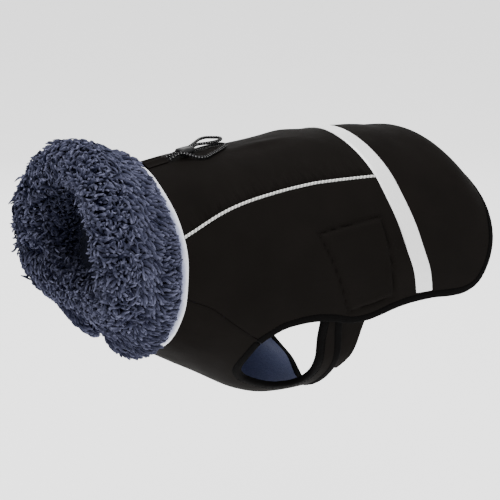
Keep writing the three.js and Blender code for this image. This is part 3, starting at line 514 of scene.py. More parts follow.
def cells(rows, columns, keep=None):
    """The corner numbers of a grid's cells, or of those that are kept."""
    i, j = np.meshgrid(np.arange(rows), np.arange(columns), indexing="ij")
    n = columns + 1
    quads = np.stack([i * n + j, (i + 1) * n + j, (i + 1) * n + j + 1, i * n + j + 1], -1).reshape(-1, 4)
    return quads if keep is None else quads[keep.ravel()]


def rim_of(quads):
    """The directed edges that only one of the quads has."""
    edges = np.concatenate([quads[:, [k, (k + 1) % 4]] for k in range(4)])
    keys = edges.min(1).astype(np.int64) * (quads.max() + 1) + edges.max(1)
    _, first, count = np.unique(keys, return_index=True, return_counts=True)
    return edges[first[count == 1]]


def facing_out(points, quads):
    """The same closed mesh with its faces turned outwards."""
    a, b, c, d = (points[quads[:, k]] for k in range(4))
    volume = (a * (np.cross(b, c) + np.cross(c, d))).sum()
    return points, (quads if volume > 0 else quads[:, ::-1])


def closed_cloth(outer, inner, keep=None):
    """A closed thin shell between two grids of points."""
    quads = cells(outer.shape[0] - 1, outer.shape[1] - 1, keep)
    size = outer.shape[0] * outer.shape[1]
    rim = rim_of(quads)
    walls = np.stack([rim[:, 1], rim[:, 0], rim[:, 0] + size, rim[:, 1] + size], -1)
    faces = np.vstack([quads, quads[:, ::-1] + size, walls])
    points = np.vstack([outer.reshape(-1, 3), inner.reshape(-1, 3)])
    used, numbers = np.unique(faces, return_inverse=True)
    return facing_out(points[used], numbers.reshape(faces.shape))


def lay_cloth(name, places, height, thick, slot, nodes, keep=None):
    """A piece of cloth over places on the body, with its cut measured flat."""
    x, deg = places[..., 0], places[..., 1]
    top = height(x, deg)
    points, faces = closed_cloth(lifted(x, deg, top), lifted(x, deg, top - thick), keep)
    piece = make_piece(name, points, faces, slot, nodes, sharp=55)
    flat = lifted(x, deg, 0.0)
    a, b, c, d = flat.reshape(-1, 3)[cells(x.shape[0] - 1, x.shape[1] - 1, keep).T]
    area = (np.linalg.norm(np.cross(c - a, d - b), axis=1) / 2).sum() * MM * MM
    along, around = (np.linalg.norm(np.diff(flat, axis=k), axis=2).sum(k).max() * MM for k in (0, 1))


def bar(rings, closed=False):
    """A bar through rings of points, with closed ends or joined to itself."""
    n, count = rings.shape[:2]
    i = np.arange(n if closed else n - 1)[:, None] * count
    k = np.arange(count)
    after = (k + 1) % count
    ahead = (i + count) % (n * count)
    sides = np.stack([i + k, i + after, ahead + after, ahead + k], -1).reshape(-1, 4)
    points = rings.reshape(-1, 3)
    if closed:
        return facing_out(points, sides)
    points = np.vstack([points, rings[0].mean(0), rings[-1].mean(0)])
    middle, last = np.full(count, n * count), (n - 1) * count
    first_end = np.stack([middle, after, k, k], -1)
    last_end = np.stack([middle + 1, last + k, last + after, last + after], -1)
    return facing_out(points, np.vstack([sides, first_end, last_end]))


def repeated(faces, count, size):
    """The faces of one block of points, for many blocks of a size."""
    return (np.array(faces)[None] + (np.arange(count) * size)[:, None, None]).reshape(-1, 4)


def cord_piece(name, path, width, sides, slot, nodes):
    """A round cord along a path, with its run and turn kept for its braid."""
    run = unit(np.gradient(path, axis=0))
    side = unit(np.cross(run[0], [0.13, 0.21, 0.97]))
    up = np.zeros_like(path)
    for i, ahead in enumerate(run):
        side = unit(side - ahead * (side @ ahead))
        up[i] = side
    turn = np.linspace(0, 2 * np.pi, sides, endpoint=False)[None, :, None]
    wheel = up[:, None] * np.cos(turn) + np.cross(run, up)[:, None] * np.sin(turn)
    points, faces = bar(path[:, None] + wheel * width / 2)
    lengths = run_lengths(path)
    fields = {
        "along": np.append(np.repeat(lengths, sides), lengths[[0, -1]]),
        "around": np.append(np.tile(np.arange(sides) / sides, len(path)), [0, 0]),
    }
    return make_piece(name, points, faces, slot, nodes, fields)


# The collar's surfaces

def ring_point(deg):
    t = np.radians(deg)
    return np.stack([
        RING["x"] + RING["lean"] * np.cos(t) + RING["bow"] * np.cos(2 * t),
        -RING["half"] * np.sin(t),
        RING["z"] + RING["height"] * np.cos(t) + RING["sag"] * np.cos(2 * t),
    ], -1)


def collar_middle(deg, t):
    """The collar's middle surface, from the neck seam (0) to where the fur turns over (1)."""
    deg, t = np.broadcast_arrays(np.asarray(deg, float), np.asarray(t, float))
    neck, ring = body_point(NECK_X, deg), ring_point(deg)
    arrive = ring - neck
    leave = -unit(directions(NECK_X, deg)[0]) * np.linalg.norm(arrive, axis=-1, keepdims=True)
    return bend(t[..., None], neck, ring, leave, arrive)


def collar_frame(deg, t):
    along = unit(collar_middle(deg, t + 0.02) - collar_middle(deg, t - 0.02))
    around = unit(collar_middle(deg + 1, t) - collar_middle(deg - 1, t))
    return collar_middle(deg, t), along, unit(np.cross(along, around))


def collar_lifted(deg, t, height):
    point, _, out = collar_frame(deg, t)
    return point + out * height[..., None]


def rim_at(deg, turn, roll):
    """A point of the rolled rim: turn -90 is inside the neck, 0 ahead and 90 outside."""
    point, along, out = collar_frame(deg, 1.0)
    t = np.radians(turn)
    return point + (out * np.sin(t) + along * np.cos(t)) * roll[..., None]


def flap_end(deg):
    """The flap's roundness beside the split at the throat: 1, and less towards its ends."""
    near = np.clip((np.abs(deg) - FLAP_END_DEG + FLAP_ROUND_DEG) / FLAP_ROUND_DEG, 0, 1)
    return np.sqrt(np.maximum(0.04, 1 - near**2))


def tube_profile(deg, depth):
    """The fur's outer line inside the neck and over the rim, a depth below its tips."""
    full = np.ones_like(deg)
    legs = []
    for t in (0, 0.33, 0.66):
        legs.append(collar_lifted(deg, t, (depth - lerp(PILE_INSIDE, RING["roll"], t)) * full))
    rim = [rim_at(deg, turn, (RING["roll"] - depth) * full) for turn in np.linspace(-90, 90, 9)]
    return np.stack(legs + rim)


def flap_profile(deg, depth):
    """The fur's outer line over the turned-back flap, from the rim to the tape."""
    rear = tape_x(deg) - TAPE_WIDTH - FUR_TO_TAPE
    end, low = flap_end(deg), BACKING_GAP + 1
    pile = lerp(FLAP_PILE["throat"], FLAP_PILE["top"], (1 + np.cos(np.radians(deg))) / 2)

    def high(share):
        return np.maximum(low, np.maximum(low, end * pile * flap_share(share)) - depth * end)

    rows = [rim_at(deg, 90, np.maximum(low, (RING["roll"] - depth) * end))]
    rows += [collar_lifted(deg, 0.66, high(0.2)), collar_lifted(deg, 0.3, high(0.4))]
    for x, share in ((NECK_X + 2, 0.6), (lerp(NECK_X, rear, 0.5), 0.78), (rear - 4, 0.92), (rear, 1)):
        rows.append(lifted(x, deg, high(share)))
    return np.stack(rows)


def rounded(profile, count):
    """Each of many lines made smooth and evenly spaced; the first index runs along a line."""
    return np.stack([smooth_line(profile[:, k], count) for k in range(profile.shape[1])], 1)


class Locks:
    """Short plump curled locks of pile between the surfaces through its roots and through its tips.

    A surface has rows along the pile and columns round the collar.
    """

    # Share of the length and of the width at each ring of a lock
    RINGS = ((0.0, 0.7), (0.2, 0.9), (0.45, 1.0), (0.7, 1.0), (0.9, 0.85), (1.0, 0.5))
    SIDES = 3
    THICKNESS = 0.58
    STEP = 0.6

    def __init__(self, seed, low, high, closed):
        self.rng = np.random.default_rng(SEED + seed)
        self.low, self.high, self.closed = low, high, closed
        self.rows, self.columns = high.shape[:2]

    def within(self, c):
        """Columns carried on round a closed surface, or kept on an open one."""
        return c % self.columns if self.closed else np.clip(c, 0, self.columns - 1.001)

    def sample(self, surface, s, c):
        i = np.clip(np.floor(s).astype(int), 0, self.rows - 2)
        j = np.floor(c).astype(int) % self.columns
        k = (j + 1) % self.columns
        u, v = (s - i)[:, None], (c - np.floor(c))[:, None]
        return lerp(lerp(surface[i, j], surface[i + 1, j], u), lerp(surface[i, k], surface[i + 1, k], u), v)

    def roots(self, gap_along, gap_around, clear):
        """Jittered rows and columns of the locks, clear of the last rows."""
        along = np.linalg.norm(np.diff(self.high, axis=0), axis=2).mean(1).cumsum()
        lengths = np.concatenate([[0], along])
        count = int(along[-1] / gap_along)
        found = []
        for r in range(count):
            s = np.interp((r + 0.5) / count * lengths[-1], lengths, np.arange(self.rows))
            ring = self.sample(self.high, np.full(self.columns, s), np.arange(self.columns, dtype=float))
            n = int(np.linalg.norm(np.diff(ring, axis=0), axis=1).sum() / gap_around)
            places = (np.arange(n) + 0.5 * (r % 2) + self.rng.uniform(-0.45, 0.45, n)) / n
            c = self.within(places * (self.columns - (0 if self.closed else 1)))
            shift = self.rng.uniform(-0.5, 0.5, n) * self.rows / count
            found.append([np.clip(s + shift, 0, self.rows - 1 - clear), c])
        return np.hstack(found)

    def across(self, s, c):
        """Unit directions along and round the surface of the tips."""
        ahead = self.sample(self.high, np.minimum(s + self.STEP, self.rows - 1), c)
        behind = self.sample(self.high, np.maximum(s - self.STEP, 0), c)
        right, left = (self.sample(self.high, s, self.within(c + step)) for step in (self.STEP, -self.STEP))
        return unit(ahead - behind), unit(right - left)

    def grow(self, gaps, lay, width, longest):
        """Every lock's points, faces and fields; lay says how the locks lean and stand."""
        rng = self.rng
        s, c = self.roots(*gaps)
        n = len(s)
        base, crest = self.sample(self.low, s, c), self.sample(self.high, s, c)
        along, around = self.across(s, c)
        out = unit(crest - base)
        lean, stand, shortness, painted_light_share, curl = lay(s / (self.rows - 1), crest, along, around, rng)
        lean = unit(lean - out * (lean * out).sum(1, keepdims=True))
        side = np.cross(out, lean)
        deep = np.linalg.norm(crest - base, axis=1) * shortness * rng.uniform(0.5, 0.98, n)
        start = rng.uniform(0.05, 0.5, n)
        arc = lerp(1.9, 0.7, stand) * rng.uniform(0.8, 1.2, n)
        climb = (np.sin(np.minimum(start + arc, np.pi / 2)) - np.sin(start)) / arc
        length = np.minimum(deep / climb, longest * deep)
        twist = rng.normal(0, 1, n) * curl
        size = width * rng.uniform(0.75, 1.25, (n, 1)) * (0.7 + 0.3 * shortness[:, None])
        base = base - lean * (0.45 * length * (np.cos(start) - np.cos(start + arc)) / arc)[:, None]
        wave = rng.uniform(0.2, 0.7, n) * np.sign(rng.normal(size=n))
        wave_start = rng.uniform(0, 2 * np.pi, n)

        def path(t):
            """A lock's middle at a share of its length, and the direction across it."""
            angle, turn = start + arc * t, (twist * t)[:, None]
            up = (length * (np.sin(angle) - np.sin(start)) / arc)[:, None]
            over = (length * (np.cos(start) - np.cos(angle)) / arc)[:, None]
            away = lean * np.cos(turn) + side * np.sin(turn)
            flat = side * np.cos(turn) - lean * np.sin(turn)
            sway = (wave * np.sin(wave_start + 5.5 * t) * t)[:, None]
            return base + out * up + away * over + flat * sway, flat

        rings, rises = [], []
        for t, share in self.RINGS:
            middle, flat = path(t)
            run = unit(path(t + 0.02)[0] - path(t - 0.02)[0])
            thin = np.cross(run, flat)
            for k in range(self.SIDES):
                a = 2 * np.pi * (k + 0.5) / self.SIDES
                wheel = flat * np.cos(a) + thin * 0.8 * np.sin(a)
                rings.append(middle + wheel * size * share * self.THICKNESS)
                rises.append(np.full(n, t))
        rings.append(path(1.0)[0] + run * size * 0.24)
        rises.append(np.ones(n))
        each = len(rings)
        # Fields: each lock's rise from root to tip, which the fur's colour turns into painted shade at the
        # roots and painted light at the tips; its random tone; and its painted light, lower deep inside the
        # neck as painted shade
        fields = {
            "rise": np.stack(rises, 1).ravel(),
            "shade": np.repeat(np.clip(0.5 + 0.3 * rng.normal(size=n), 0, 1), each),
            "open": np.repeat(painted_light_share, each),
        }
        faces = []
        for first in range(0, each - 1, self.SIDES):
            for k in range(self.SIDES):
                a, b = first + k, first + (k + 1) % self.SIDES
                tip = first + self.SIDES == each - 1
                faces.append([a, b, each - 1, each - 1] if tip else [a, b, b + self.SIDES, a + self.SIDES])
        return np.stack(rings, 1).reshape(-1, 3), repeated(faces, n, each), fields


# Shader helpers

class Value:
    """A number that changes over a surface; sums on it add Math nodes."""

    def __init__(self, finish, socket):
        self.finish = finish
        self.socket = socket

    def math(self, operation, first, second):
        return Value(self.finish, self.finish.node("Math", {"operation": operation}, {0: first, 1: second}))

    def __add__(self, other):
        return self.math("ADD", self, other)

    __radd__ = __add__

    def __sub__(self, other):
        return self.math("SUBTRACT", self, other)

    def __rsub__(self, other):
        return self.math("SUBTRACT", other, self)

    def __mul__(self, other):
        return self.math("MULTIPLY", self, other)

    __rmul__ = __mul__

    def __pow__(self, other):
        return self.math("POWER", self, other)

    def above(self, other):
        return self.math("GREATER_THAN", self, other)

    def sine(self):
        return self.math("SINE", self, 0.0)


def colour(values, share=1.0):
    return tuple(v * share for v in values[:3]) + (1.0,)


class Finish:
    """One procedural material and the ways to build its nodes."""

    def __init__(self, name, **fixed):
        self.material = bpy.data.materials.new(name)
        self.material.use_nodes = True
        self.tree = self.material.node_tree
        self.shader = self.tree.nodes["Principled BSDF"]
        for socket, value in fixed.items():
            self.shader.inputs[socket.replace("_", " ")].default_value = value
        self.place = self.node("TexCoord", {}, {}, "Object")

    def feed(self, socket, value):
        """Links a value to a socket, or sets the socket to a constant."""
        value = value.socket if isinstance(value, Value) else value
        if isinstance(value, bpy.types.NodeSocket):
            self.tree.links.new(value, socket)
        else:
            socket.default_value = value

    def node(self, kind, settings, inputs, output=0):
        """A node's output; settings come first, then the values or links of its sockets."""
        made = self.tree.nodes.new("ShaderNode" + kind)
        for name, value in settings.items():
            setattr(made, name, value)
        for name, value in inputs.items():
            self.feed(made.inputs[name], value)
        return made.outputs[output]

    def noise(self, size, detail=3.0, roughness=0.5):
        """Uneven spots of about a size in millimetres, from 0 to 1."""
        inputs = {"Vector": self.place, "Scale": 1 / (size * MM), "Detail": detail, "Roughness": roughness}
        return Value(self, self.node("TexNoise", {}, inputs, "Fac"))

    def stripes(self, size, direction):
        """Even ridges of a size in millimetres across a direction, from 0 to 1."""
        settings = {"wave_type": "BANDS", "bands_direction": direction, "wave_profile": "SIN"}
        inputs = {"Vector": self.place, "Scale": 0.314 / (size * MM), "Distortion": 0.0, "Detail": 0.0}
        return Value(self, self.node("TexWave", settings, inputs, "Fac"))

    def weave(self, size):
        """Threads of a size that cross, from 0 to 1."""
        return self.stripes(size, "X") * 0.5 + self.stripes(size, "Z") * 0.5

    def field(self, name):
        """A number that the mesh keeps at its points."""
        return Value(self, self.node("Attribute", {"attribute_name": name}, {}, "Fac"))

    def blend(self, factor, low, high):
        """One colour turning into another."""
        return self.node("Mix", {"data_type": "RGBA"}, {0: factor, 6: low, 7: high}, 2)

    def wear(self, socket, value):
        """Feeds one of the shader's sockets."""
        self.feed(self.shader.inputs[socket], value)

    def mottle(self, factor, base, low, high):
        """Colours the surface by shares of its base colour."""
        self.wear("Base Color", self.blend(factor, colour(base, low), colour(base, high)))

    def relief(self, height, depth, strength):
        """Bump of a depth in millimetres."""
        inputs = {"Height": height, "Distance": depth * MM, "Strength": strength}
        self.wear("Normal", self.node("Bump", {}, inputs))


def woven_finish(name, base):
    """Dense plain-woven polyester, close to black with a soft sheen."""
    made = Finish(name, IOR=1.05)
    made.mottle(made.noise(38, 2), base, 0.8, 1.25)
    made.wear("Roughness", made.noise(14) * 0.12 + 0.54)
    made.relief(made.weave(0.62) + made.noise(3, 4) * 0.7, 0.09, 0.6)
    return made.material


def fleece_finish(name, base):
    """Brushed fleece, with painted shade darkening it towards the fur of the neck."""
    made = Finish(name, Roughness=0.95, Specular_IOR_Level=0.1, Sheen_Weight=0.05, Sheen_Roughness=0.6)
    brush = made.noise(1.6, 5, 0.65)
    along = Value(made, made.node("SeparateXYZ", {}, {"Vector": made.place}, "X"))
    brushed = made.blend(brush, colour(base, 0.5), colour(base, 1.5))
    # Painted shade: the lining darkens to a fifth of its colour from x = -0.02 m towards the neck at x =
    # -0.1 m
    made.wear("Base Color", made.blend(along * 12.5 + 1.25, colour(base, 0.2), brushed))
    made.relief(brush + made.noise(6, 2) * 0.8, 0.7, 0.8)
    return made.material


def fur_finish(name, base, deep):
    """Deep pile, with painted shade dark at its roots and inside the neck and painted light pale at its
    tips.
    """
    sheen = {"Sheen_Weight": 0.06, "Sheen_Roughness": 0.5, "Sheen_Tint": (0.6, 0.66, 1, 1)}
    made = Finish(name, Roughness=0.9, Specular_IOR_Level=0.05, **sheen)
    # Painted shade and light: roots and the inside of the neck are darkened, tips lightened; the noise and
    # each lock's shade are random tone
    light = made.field("rise") ** 2.2 * (0.45 + made.noise(2.0, 3, 0.6) * 0.9)
    light = light * (0.3 + made.field("shade") * 0.9) * made.field("open")
    made.wear("Base Color", made.blend(light, colour(deep), colour(base, 3.4)))
    made.relief(made.noise(0.8, 4, 0.7), 0.6, 0.8)
    return made.material


def band_finish(name, base):
    """Reflective woven tape with fine crosswise ribs."""
    made = Finish(name, Metallic=0.15)
    glass = made.noise(1.2, 4)
    made.mottle(glass, base, 0.9, 1.06)
    made.wear("Roughness", made.noise(5) * 0.2 + 0.26)
    made.relief(made.stripes(0.8, "X") + glass * 0.5, 0.06, 0.5)
    return made.material


def tape_finish(name, base, shaded):
    """Pale woven tape, with painted bluish shade along the side that the fur lies on."""
    made = Finish(name, Roughness=0.75)
    # Painted shade: the tape turns bluish towards the fur
    inner = made.field("inner") * (0.5 + made.noise(9, 2))
    made.wear("Base Color", made.blend(inner, colour(base), colour(shaded)))
    made.relief(made.weave(0.9) + made.noise(5, 3), 0.2, 0.7)
    return made.material


def ribbed_finish(name, base):
    """Woven binding with fine ribs."""
    made = Finish(name, Roughness=0.78, IOR=1.08)
    ribs = made.weave(0.9)
    made.mottle(ribs * made.noise(5), base, 0.75, 1.3)
    made.relief(ribs + made.noise(2.5, 3) * 0.6, 0.14, 0.7)
    return made.material


def braid_finish(name, base, fleck):
    """A round braid, with flecks of a second colour."""
    made = Finish(name, Roughness=0.8, Specular_IOR_Level=0.1)
    along, around = made.field("along") * (2 * math.pi / 5.0), made.field("around") * (4 * math.pi)
    strand = (along + around).sine() * (along - around).sine()
    made.wear("Base Color", made.blend(strand.above(0.8), colour(base), colour(fleck)))
    made.relief(strand * 0.5 + 0.5, 0.2, 0.7)
    return made.material


def twist_finish(name, groove, base):
    """A cord of two strands twisted round each other, with painted shade in the grooves between them."""
    made = Finish(name, Roughness=0.8, Specular_IOR_Level=0.1)
    along, around = made.field("along") * (2 * math.pi / 3.4), made.field("around") * (2 * math.pi)
    strand = (along + around).sine() * 0.5 + 0.5
    # Painted shade: the groove colour darkens the cord between its strands
    made.wear("Base Color", made.blend(strand + made.noise(3, 2) * 0.3, colour(groove), colour(base)))
    made.relief(strand, 0.4, 1.0)
    return made.material


def plastic_finish(name, base):
    """Moulded plastic with a fine spark texture."""
    made = Finish(name, Specular_IOR_Level=0.22)
    made.mottle(made.noise(12, 2), base, 0.85, 1.2)
    made.wear("Roughness", made.noise(2.5) * 0.16 + 0.40)
    made.relief(made.noise(0.5, 2), 0.05, 0.5)
    return made.material


# Each slot's material, what makes it and the names of its colours
FINISHES = {
    "shell": ("shell_cloth", woven_finish, "shell"),
    "fleece": ("lining_fleece", fleece_finish, "fleece"),
    "fur": ("collar_fur", fur_finish, "fur", "fur_deep"),
    "reflective": ("reflective_tape", band_finish, "band"),
    "binding": ("edge_binding", ribbed_finish, "binding"),
    "tape": ("collar_tape_weave", tape_finish, "tape", "tape_inner"),
    "cord": ("drawcord_braid", braid_finish, "cord", "fleck"),
    "piping": ("piping_twist", twist_finish, "piping_dark", "piping"),
    "plastic": ("lock_plastic", plastic_finish, "plastic"),
}


def finish_for(slot):
    """The material of a slot, made the first time that a piece asks for it."""
    name, maker, *colours = FINISHES[slot]
    chosen = bpy.context.scene.coat_colours
    return bpy.data.materials.get(name) or maker(name, *(getattr(chosen, label) for label in colours))


# What a user may change

def shade_property(label, description, default):
    return bpy.props.FloatVectorProperty(
        name=label, description=description, default=default, size=3, min=0, max=1, subtype="COLOR")


def length_property(label, description, default):
    return bpy.props.FloatProperty(
        name=label, description=description, default=default, min=0, unit="LENGTH")


class CoatColours(bpy.types.PropertyGroup):
    """Colours of the coat's cloths and trim."""

    shell: shade_property("Shell", "Colour of the outer cloth", (0.0058, 0.0050, 0.0045))
    fleece: shade_property("Fleece", "Colour of the lining", (0.066, 0.077, 0.145))
    fur: shade_property("Fur", "Colour of the collar's pile", (0.037, 0.0385, 0.0590))
    # Painted shade: the near-black blue that the fur's roots and the inside of the neck are darkened to
    fur_deep: shade_property("Fur roots", "Colour deep in the collar's pile", (0.0008, 0.0014, 0.0100))
    band: shade_property("Band", "Colour of the reflective band", (0.80, 0.80, 0.80))
    piping: shade_property("Piping", "Colour of the piping", (0.74, 0.74, 0.71))
    # Painted shade: the dark colour painted in the piping's grooves
    piping_dark: shade_property("Piping grooves", "Colour between the piping's strands", (0.16, 0.16, 0.16))
    binding: shade_property("Binding", "Colour of the edge binding", (0.0026, 0.0024, 0.0024))
    tape: shade_property("Collar tape", "Colour of the tape on the collar's edge", (0.80, 0.80, 0.82))
    # Painted shade: the bluish colour the tape fades to beside the fur
    tape_inner: shade_property("Inner tape", "Colour of the tape beside the fur", (0.30, 0.32, 0.46))
    cord: shade_property("Cord", "Colour of the drawcord", (0.005, 0.005, 0.0055))
    fleck: shade_property("Cord fleck", "Colour of the drawcord's flecks", (0.45, 0.45, 0.45))
    plastic: shade_property("Lock", "Colour of the cord lock", (0.006, 0.006, 0.0065))


class CoatSizes(bpy.types.PropertyGroup):
    """Sizes of what the scene adds to the solids."""

    cell: length_property("Cloth cell", "Spacing of the cloth's mesh", 0.002)
    shell_thick: length_property("Shell", "Thickness of the outer cloth", 0.0012)
    binding_width: length_property("Binding", "Width of the edge binding", 0.008)
    band_width: length_property("Band", "Width of the reflective band", 0.0165)
    piping_width: length_property("Piping", "Width of the piping", 0.0024)
    cord_width: length_property("Cord", "Width of the drawcord", 0.0026)
    pile_depth: length_property("Pile", "Depth of the collar's locks below the solid's surface", 0.0066)
    lock_width: length_property("Lock of pile", "Width of one lock of the collar's pile", 0.0024)


def sizes():
    """The sizes in millimetres."""
    chosen = bpy.context.scene.coat_sizes
    return {name: getattr(chosen, name) / MM for name in CoatSizes.__annotations__}


class CoatStep(bpy.types.Operator):
    """One step in making the coat."""

    bl_options = {"REGISTER", "UNDO"}

    def execute(self, context):
        self.make()
        return {"FINISHED"}


def stand(name, data, place, back):
    """A camera or light at a place, turned away from a direction behind it."""
    made = bpy.data.objects.new(name, data)
    made.location = place
    made.rotation_euler = back.to_track_quat("Z", "Y").to_euler()
    bpy.context.scene.collection.objects.link(made)
    return made


class COAT_OT_camera(CoatStep):
    """Places the camera at the photograph's viewpoint."""

    bl_idname = "coat.camera"
    bl_label = "Camera"

    AZIMUTH = -33
    ELEVATION = 17
    DISTANCE = 1.22
    TARGET = (0.018, 0, -0.091)

    def make(self):
        az, el = math.radians(self.AZIMUTH), math.radians(self.ELEVATION)
        back = Vector((math.sin(az) * math.cos(el), -math.cos(az) * math.cos(el), math.sin(el)))
        data = bpy.data.cameras.new("photo_camera")
        data.lens = 100.8
        data.sensor_width = 36
        data.clip_start = 0.01
        data.clip_end = 60
        place = Vector(self.TARGET) + back * self.DISTANCE
        bpy.context.scene.camera = stand("photo_camera", data, place, back)


# The cloth's pieces

# Each side's name and which way it lies
HANDS = (("left", 1), ("right", -1))


def layer(name, x, deg, top, under, slot, nodes, finish=None):
    """A thin closed piece between two heights over the body."""
    points, faces = closed_cloth(lifted(x, deg, top), lifted(x, deg, under))
    make_piece(name, points, faces, slot, nodes, sharp=60, finish=finish)


def split_at_tail(edge):
    """A hem line's run along the side, and its run round the tail."""
    tail = (edge[:, 0] >= 150) & (edge[:, 1] <= TAIL_CORNER_DEG)
    return edge[~tail], edge[tail]


def over_the_rear(front_x, side, tail, rows, columns, fine):
    """Places between a front line across the coat, both sides' edges and the tail's."""
    left = by_length(np.vstack([side, tail[:1]]), fine)
    rear = by_length(there_and_back(tail), fine)
    deg = np.linspace(left[0, 1], -left[0, 1], fine + 1)
    front = np.stack([front_x(deg), deg], -1)
    return patch_places(left, mirrored(left), front, rear, rows, columns)


def on_left(places):
    """The same places, with those of the right side brought to the left."""
    return np.stack([places[..., 0], 180 - np.abs(places[..., 1] - 180)], -1)


def chest_places(cell, gap):
    """Places of the chest and belly, and which cells lie clear of the armholes."""
    rear_x = by_degree(beside(belly_line, -CLOTH_EDGE))
    wing_top = BELLY_EDGE[0][1]
    upper = curve_through([seam_end[0], -22, 16, 30, 60], [seam_end[1], 110, 106, wing_top, wing_top])

    def low(x):
        seam = seam_deg(np.minimum(x, seam_end[0])) + gap / MM_PER_DEGREE
        return np.where(x < seam_end[0], seam, np.maximum(wing_top, upper(np.maximum(x, seam_end[0]))))

    u, v = grid(int(170 / cell), int(300 / cell))
    deg = 180 + 0 * u
    # The border's two directions depend on each other, and settle in a few rounds
    for _ in range(7):
        x = lerp(NECK_X + NECK_GAP, rear_x(np.clip(deg, wing_top, 360 - wing_top)), u)
        deg = lerp(low(x), 360 - low(x), v)
    places = np.stack([x, deg], -1)
    middle = (places[:-1, :-1] + places[1:, :-1] + places[:-1, 1:] + places[1:, 1:]) / 4
    keep = ~inside_loop(armhole_loop, on_left(middle))
    return trimmed(places, keep), keep


def trimmed(places, keep):
    """The places with those beside the removed cells moved onto the armhole's loop."""
    wide = np.pad(keep, 1, mode="edge")
    four = np.stack([wide[:-1, :-1], wide[1:, :-1], wide[:-1, 1:], wide[1:, 1:]])
    edge = four.any(0) & ~four.all(0)
    line = evenly(np.vstack([armhole_loop, armhole_loop[:1]]), 900)
    spots = places[edge]
    away = (on_left(spots)[:, None] - line) * [1, MM_PER_DEGREE]
    x, deg = line[np.linalg.norm(away, axis=2).argmin(1)].T
    moved = places.copy()
    moved[edge] = np.stack([x, np.where(spots[:, 1] > 180, 360 - deg, deg)], -1)
    return moved


class COAT_OT_shell(CoatStep):
    """Makes the five panels of outer cloth, with their gathers, troughs and stitched rectangles."""

    bl_idname = "coat.shell"
    bl_label = "Outer cloth"

    def lay(self, name, node, places, height, keep=None):
        lay_cloth(name, places, height, sizes()["shell_thick"], "shell", [node], keep)

    def make(self):
        cell = sizes()["cell"]
        self.back(cell)
        for name, hand in HANDS:
            self.side(name, hand, cell)
        self.rear(cell)
        places, keep = chest_places(cell, 0.25)
        self.lay("chest_cloth", "chest_panel", places, chest_height, keep)

    def back(self, cell):
        u, v = grid(int(444 / cell), int(168 / cell), low=(0, -1))
        x = lerp(NECK_X + NECK_GAP, band_x(0.0), u)
        for _ in range(5):
            deg = v * (piping_deg(x) - PIPING_GAP_DEG)
            x = lerp(NECK_X + NECK_GAP, band_x(deg) - SEAM_GAP, u)
        self.lay("back_cloth", "back_panel", np.stack([x, deg], -1), back_height)

    def side(self, name, hand, cell):
        fine = 160
        x = np.linspace(NECK_X + NECK_GAP, band_x(41.5) - SEAM_GAP, fine + 1)
        upper = np.stack([x, piping_deg(x) + PIPING_GAP_DEG], -1)
        start = [x[0], seam_deg(x[0]) - 0.08]
        hem = hem_cloth[3:]
        hem = hem[hem[:, 0] < band_x(hem[:, 1]) - 1]
        end = [band_x(hem[-1, 1]) - SEAM_GAP, hem[-1, 1]]
        lower = by_length(np.vstack([start, beside(front_seam, SEAM_GAP)[:-1], hem, end]), fine)
        front, rear = (np.linspace(upper[k], lower[k], fine + 1) for k in (0, -1))
        rear[:, 0] = band_x(rear[:, 1]) - SEAM_GAP
        places = patch_places(upper, lower, front, rear, int(236 / cell), int(118 / cell)) * [1, hand]
        self.lay(name + "_side_cloth", name + "_side_panel", places, side_height)

    def rear(self, cell):
        def behind_band(deg):
            return band_x(deg) + SEAM_GAP

        side, tail = split_at_tail(hem_cloth)
        side = side[side[:, 0] > behind_band(side[:, 1]) + 1]
        side = np.vstack([[behind_band(side[0, 1]), side[0, 1]], side])
        places = over_the_rear(behind_band, side, tail, int(112 / cell), int(330 / cell), 160)
        self.lay("rear_cloth", "rear_panel", places, rear_height)


class COAT_OT_lining(CoatStep):
    """Makes the two pieces of fleece lining."""

    bl_idname = "coat.lining"
    bl_label = "Lining"

    def make(self):
        def neck_x(deg):
            return NECK_X + NECK_GAP + 0 * deg

        cell = sizes()["cell"] * 1.7
        start = [neck_x(0), seam_deg(neck_x(0)) + LINING_OVERLAP / MM_PER_DEGREE]
        side, tail = split_at_tail(hem_cloth)
        side = np.vstack([start, beside(front_seam, -LINING_OVERLAP)[:-6], side[3:]])
        places = over_the_rear(neck_x, side, tail, int(332 / cell), int(360 / cell), 200)
        nodes = ["left_body_lining", "right_body_lining", "rear_body_lining"]
        lay_cloth("body_fleece", places, lining_height, LINING, "fleece", nodes)
        places, keep = chest_places(cell, LINING_OVERLAP + 0.4)
        lay_cloth("chest_fleece", places, chest_lining_height, LINING, "fleece", ["chest_lining"], keep)


# The trim

def over_back(x, y, up):
    """A place at a distance from the spine, and its height above the shell."""
    aside = y / body_half(x)
    return np.array([x, y, body_mid(x) + (body_top(x) - body_mid(x)) * np.sqrt(1 - aside * aside) + up])


def near_lock(ahead, aside, up=0.0):
    """A place in the lock's own directions: along the coat, to the right, and up."""
    c, s = math.cos(math.radians(LOCK["turn"])), math.sin(math.radians(LOCK["turn"]))
    return over_back(LOCK["x"], LOCK["y"], LOCK["up"]) + [ahead * c - aside * s, ahead * s + aside * c, up]


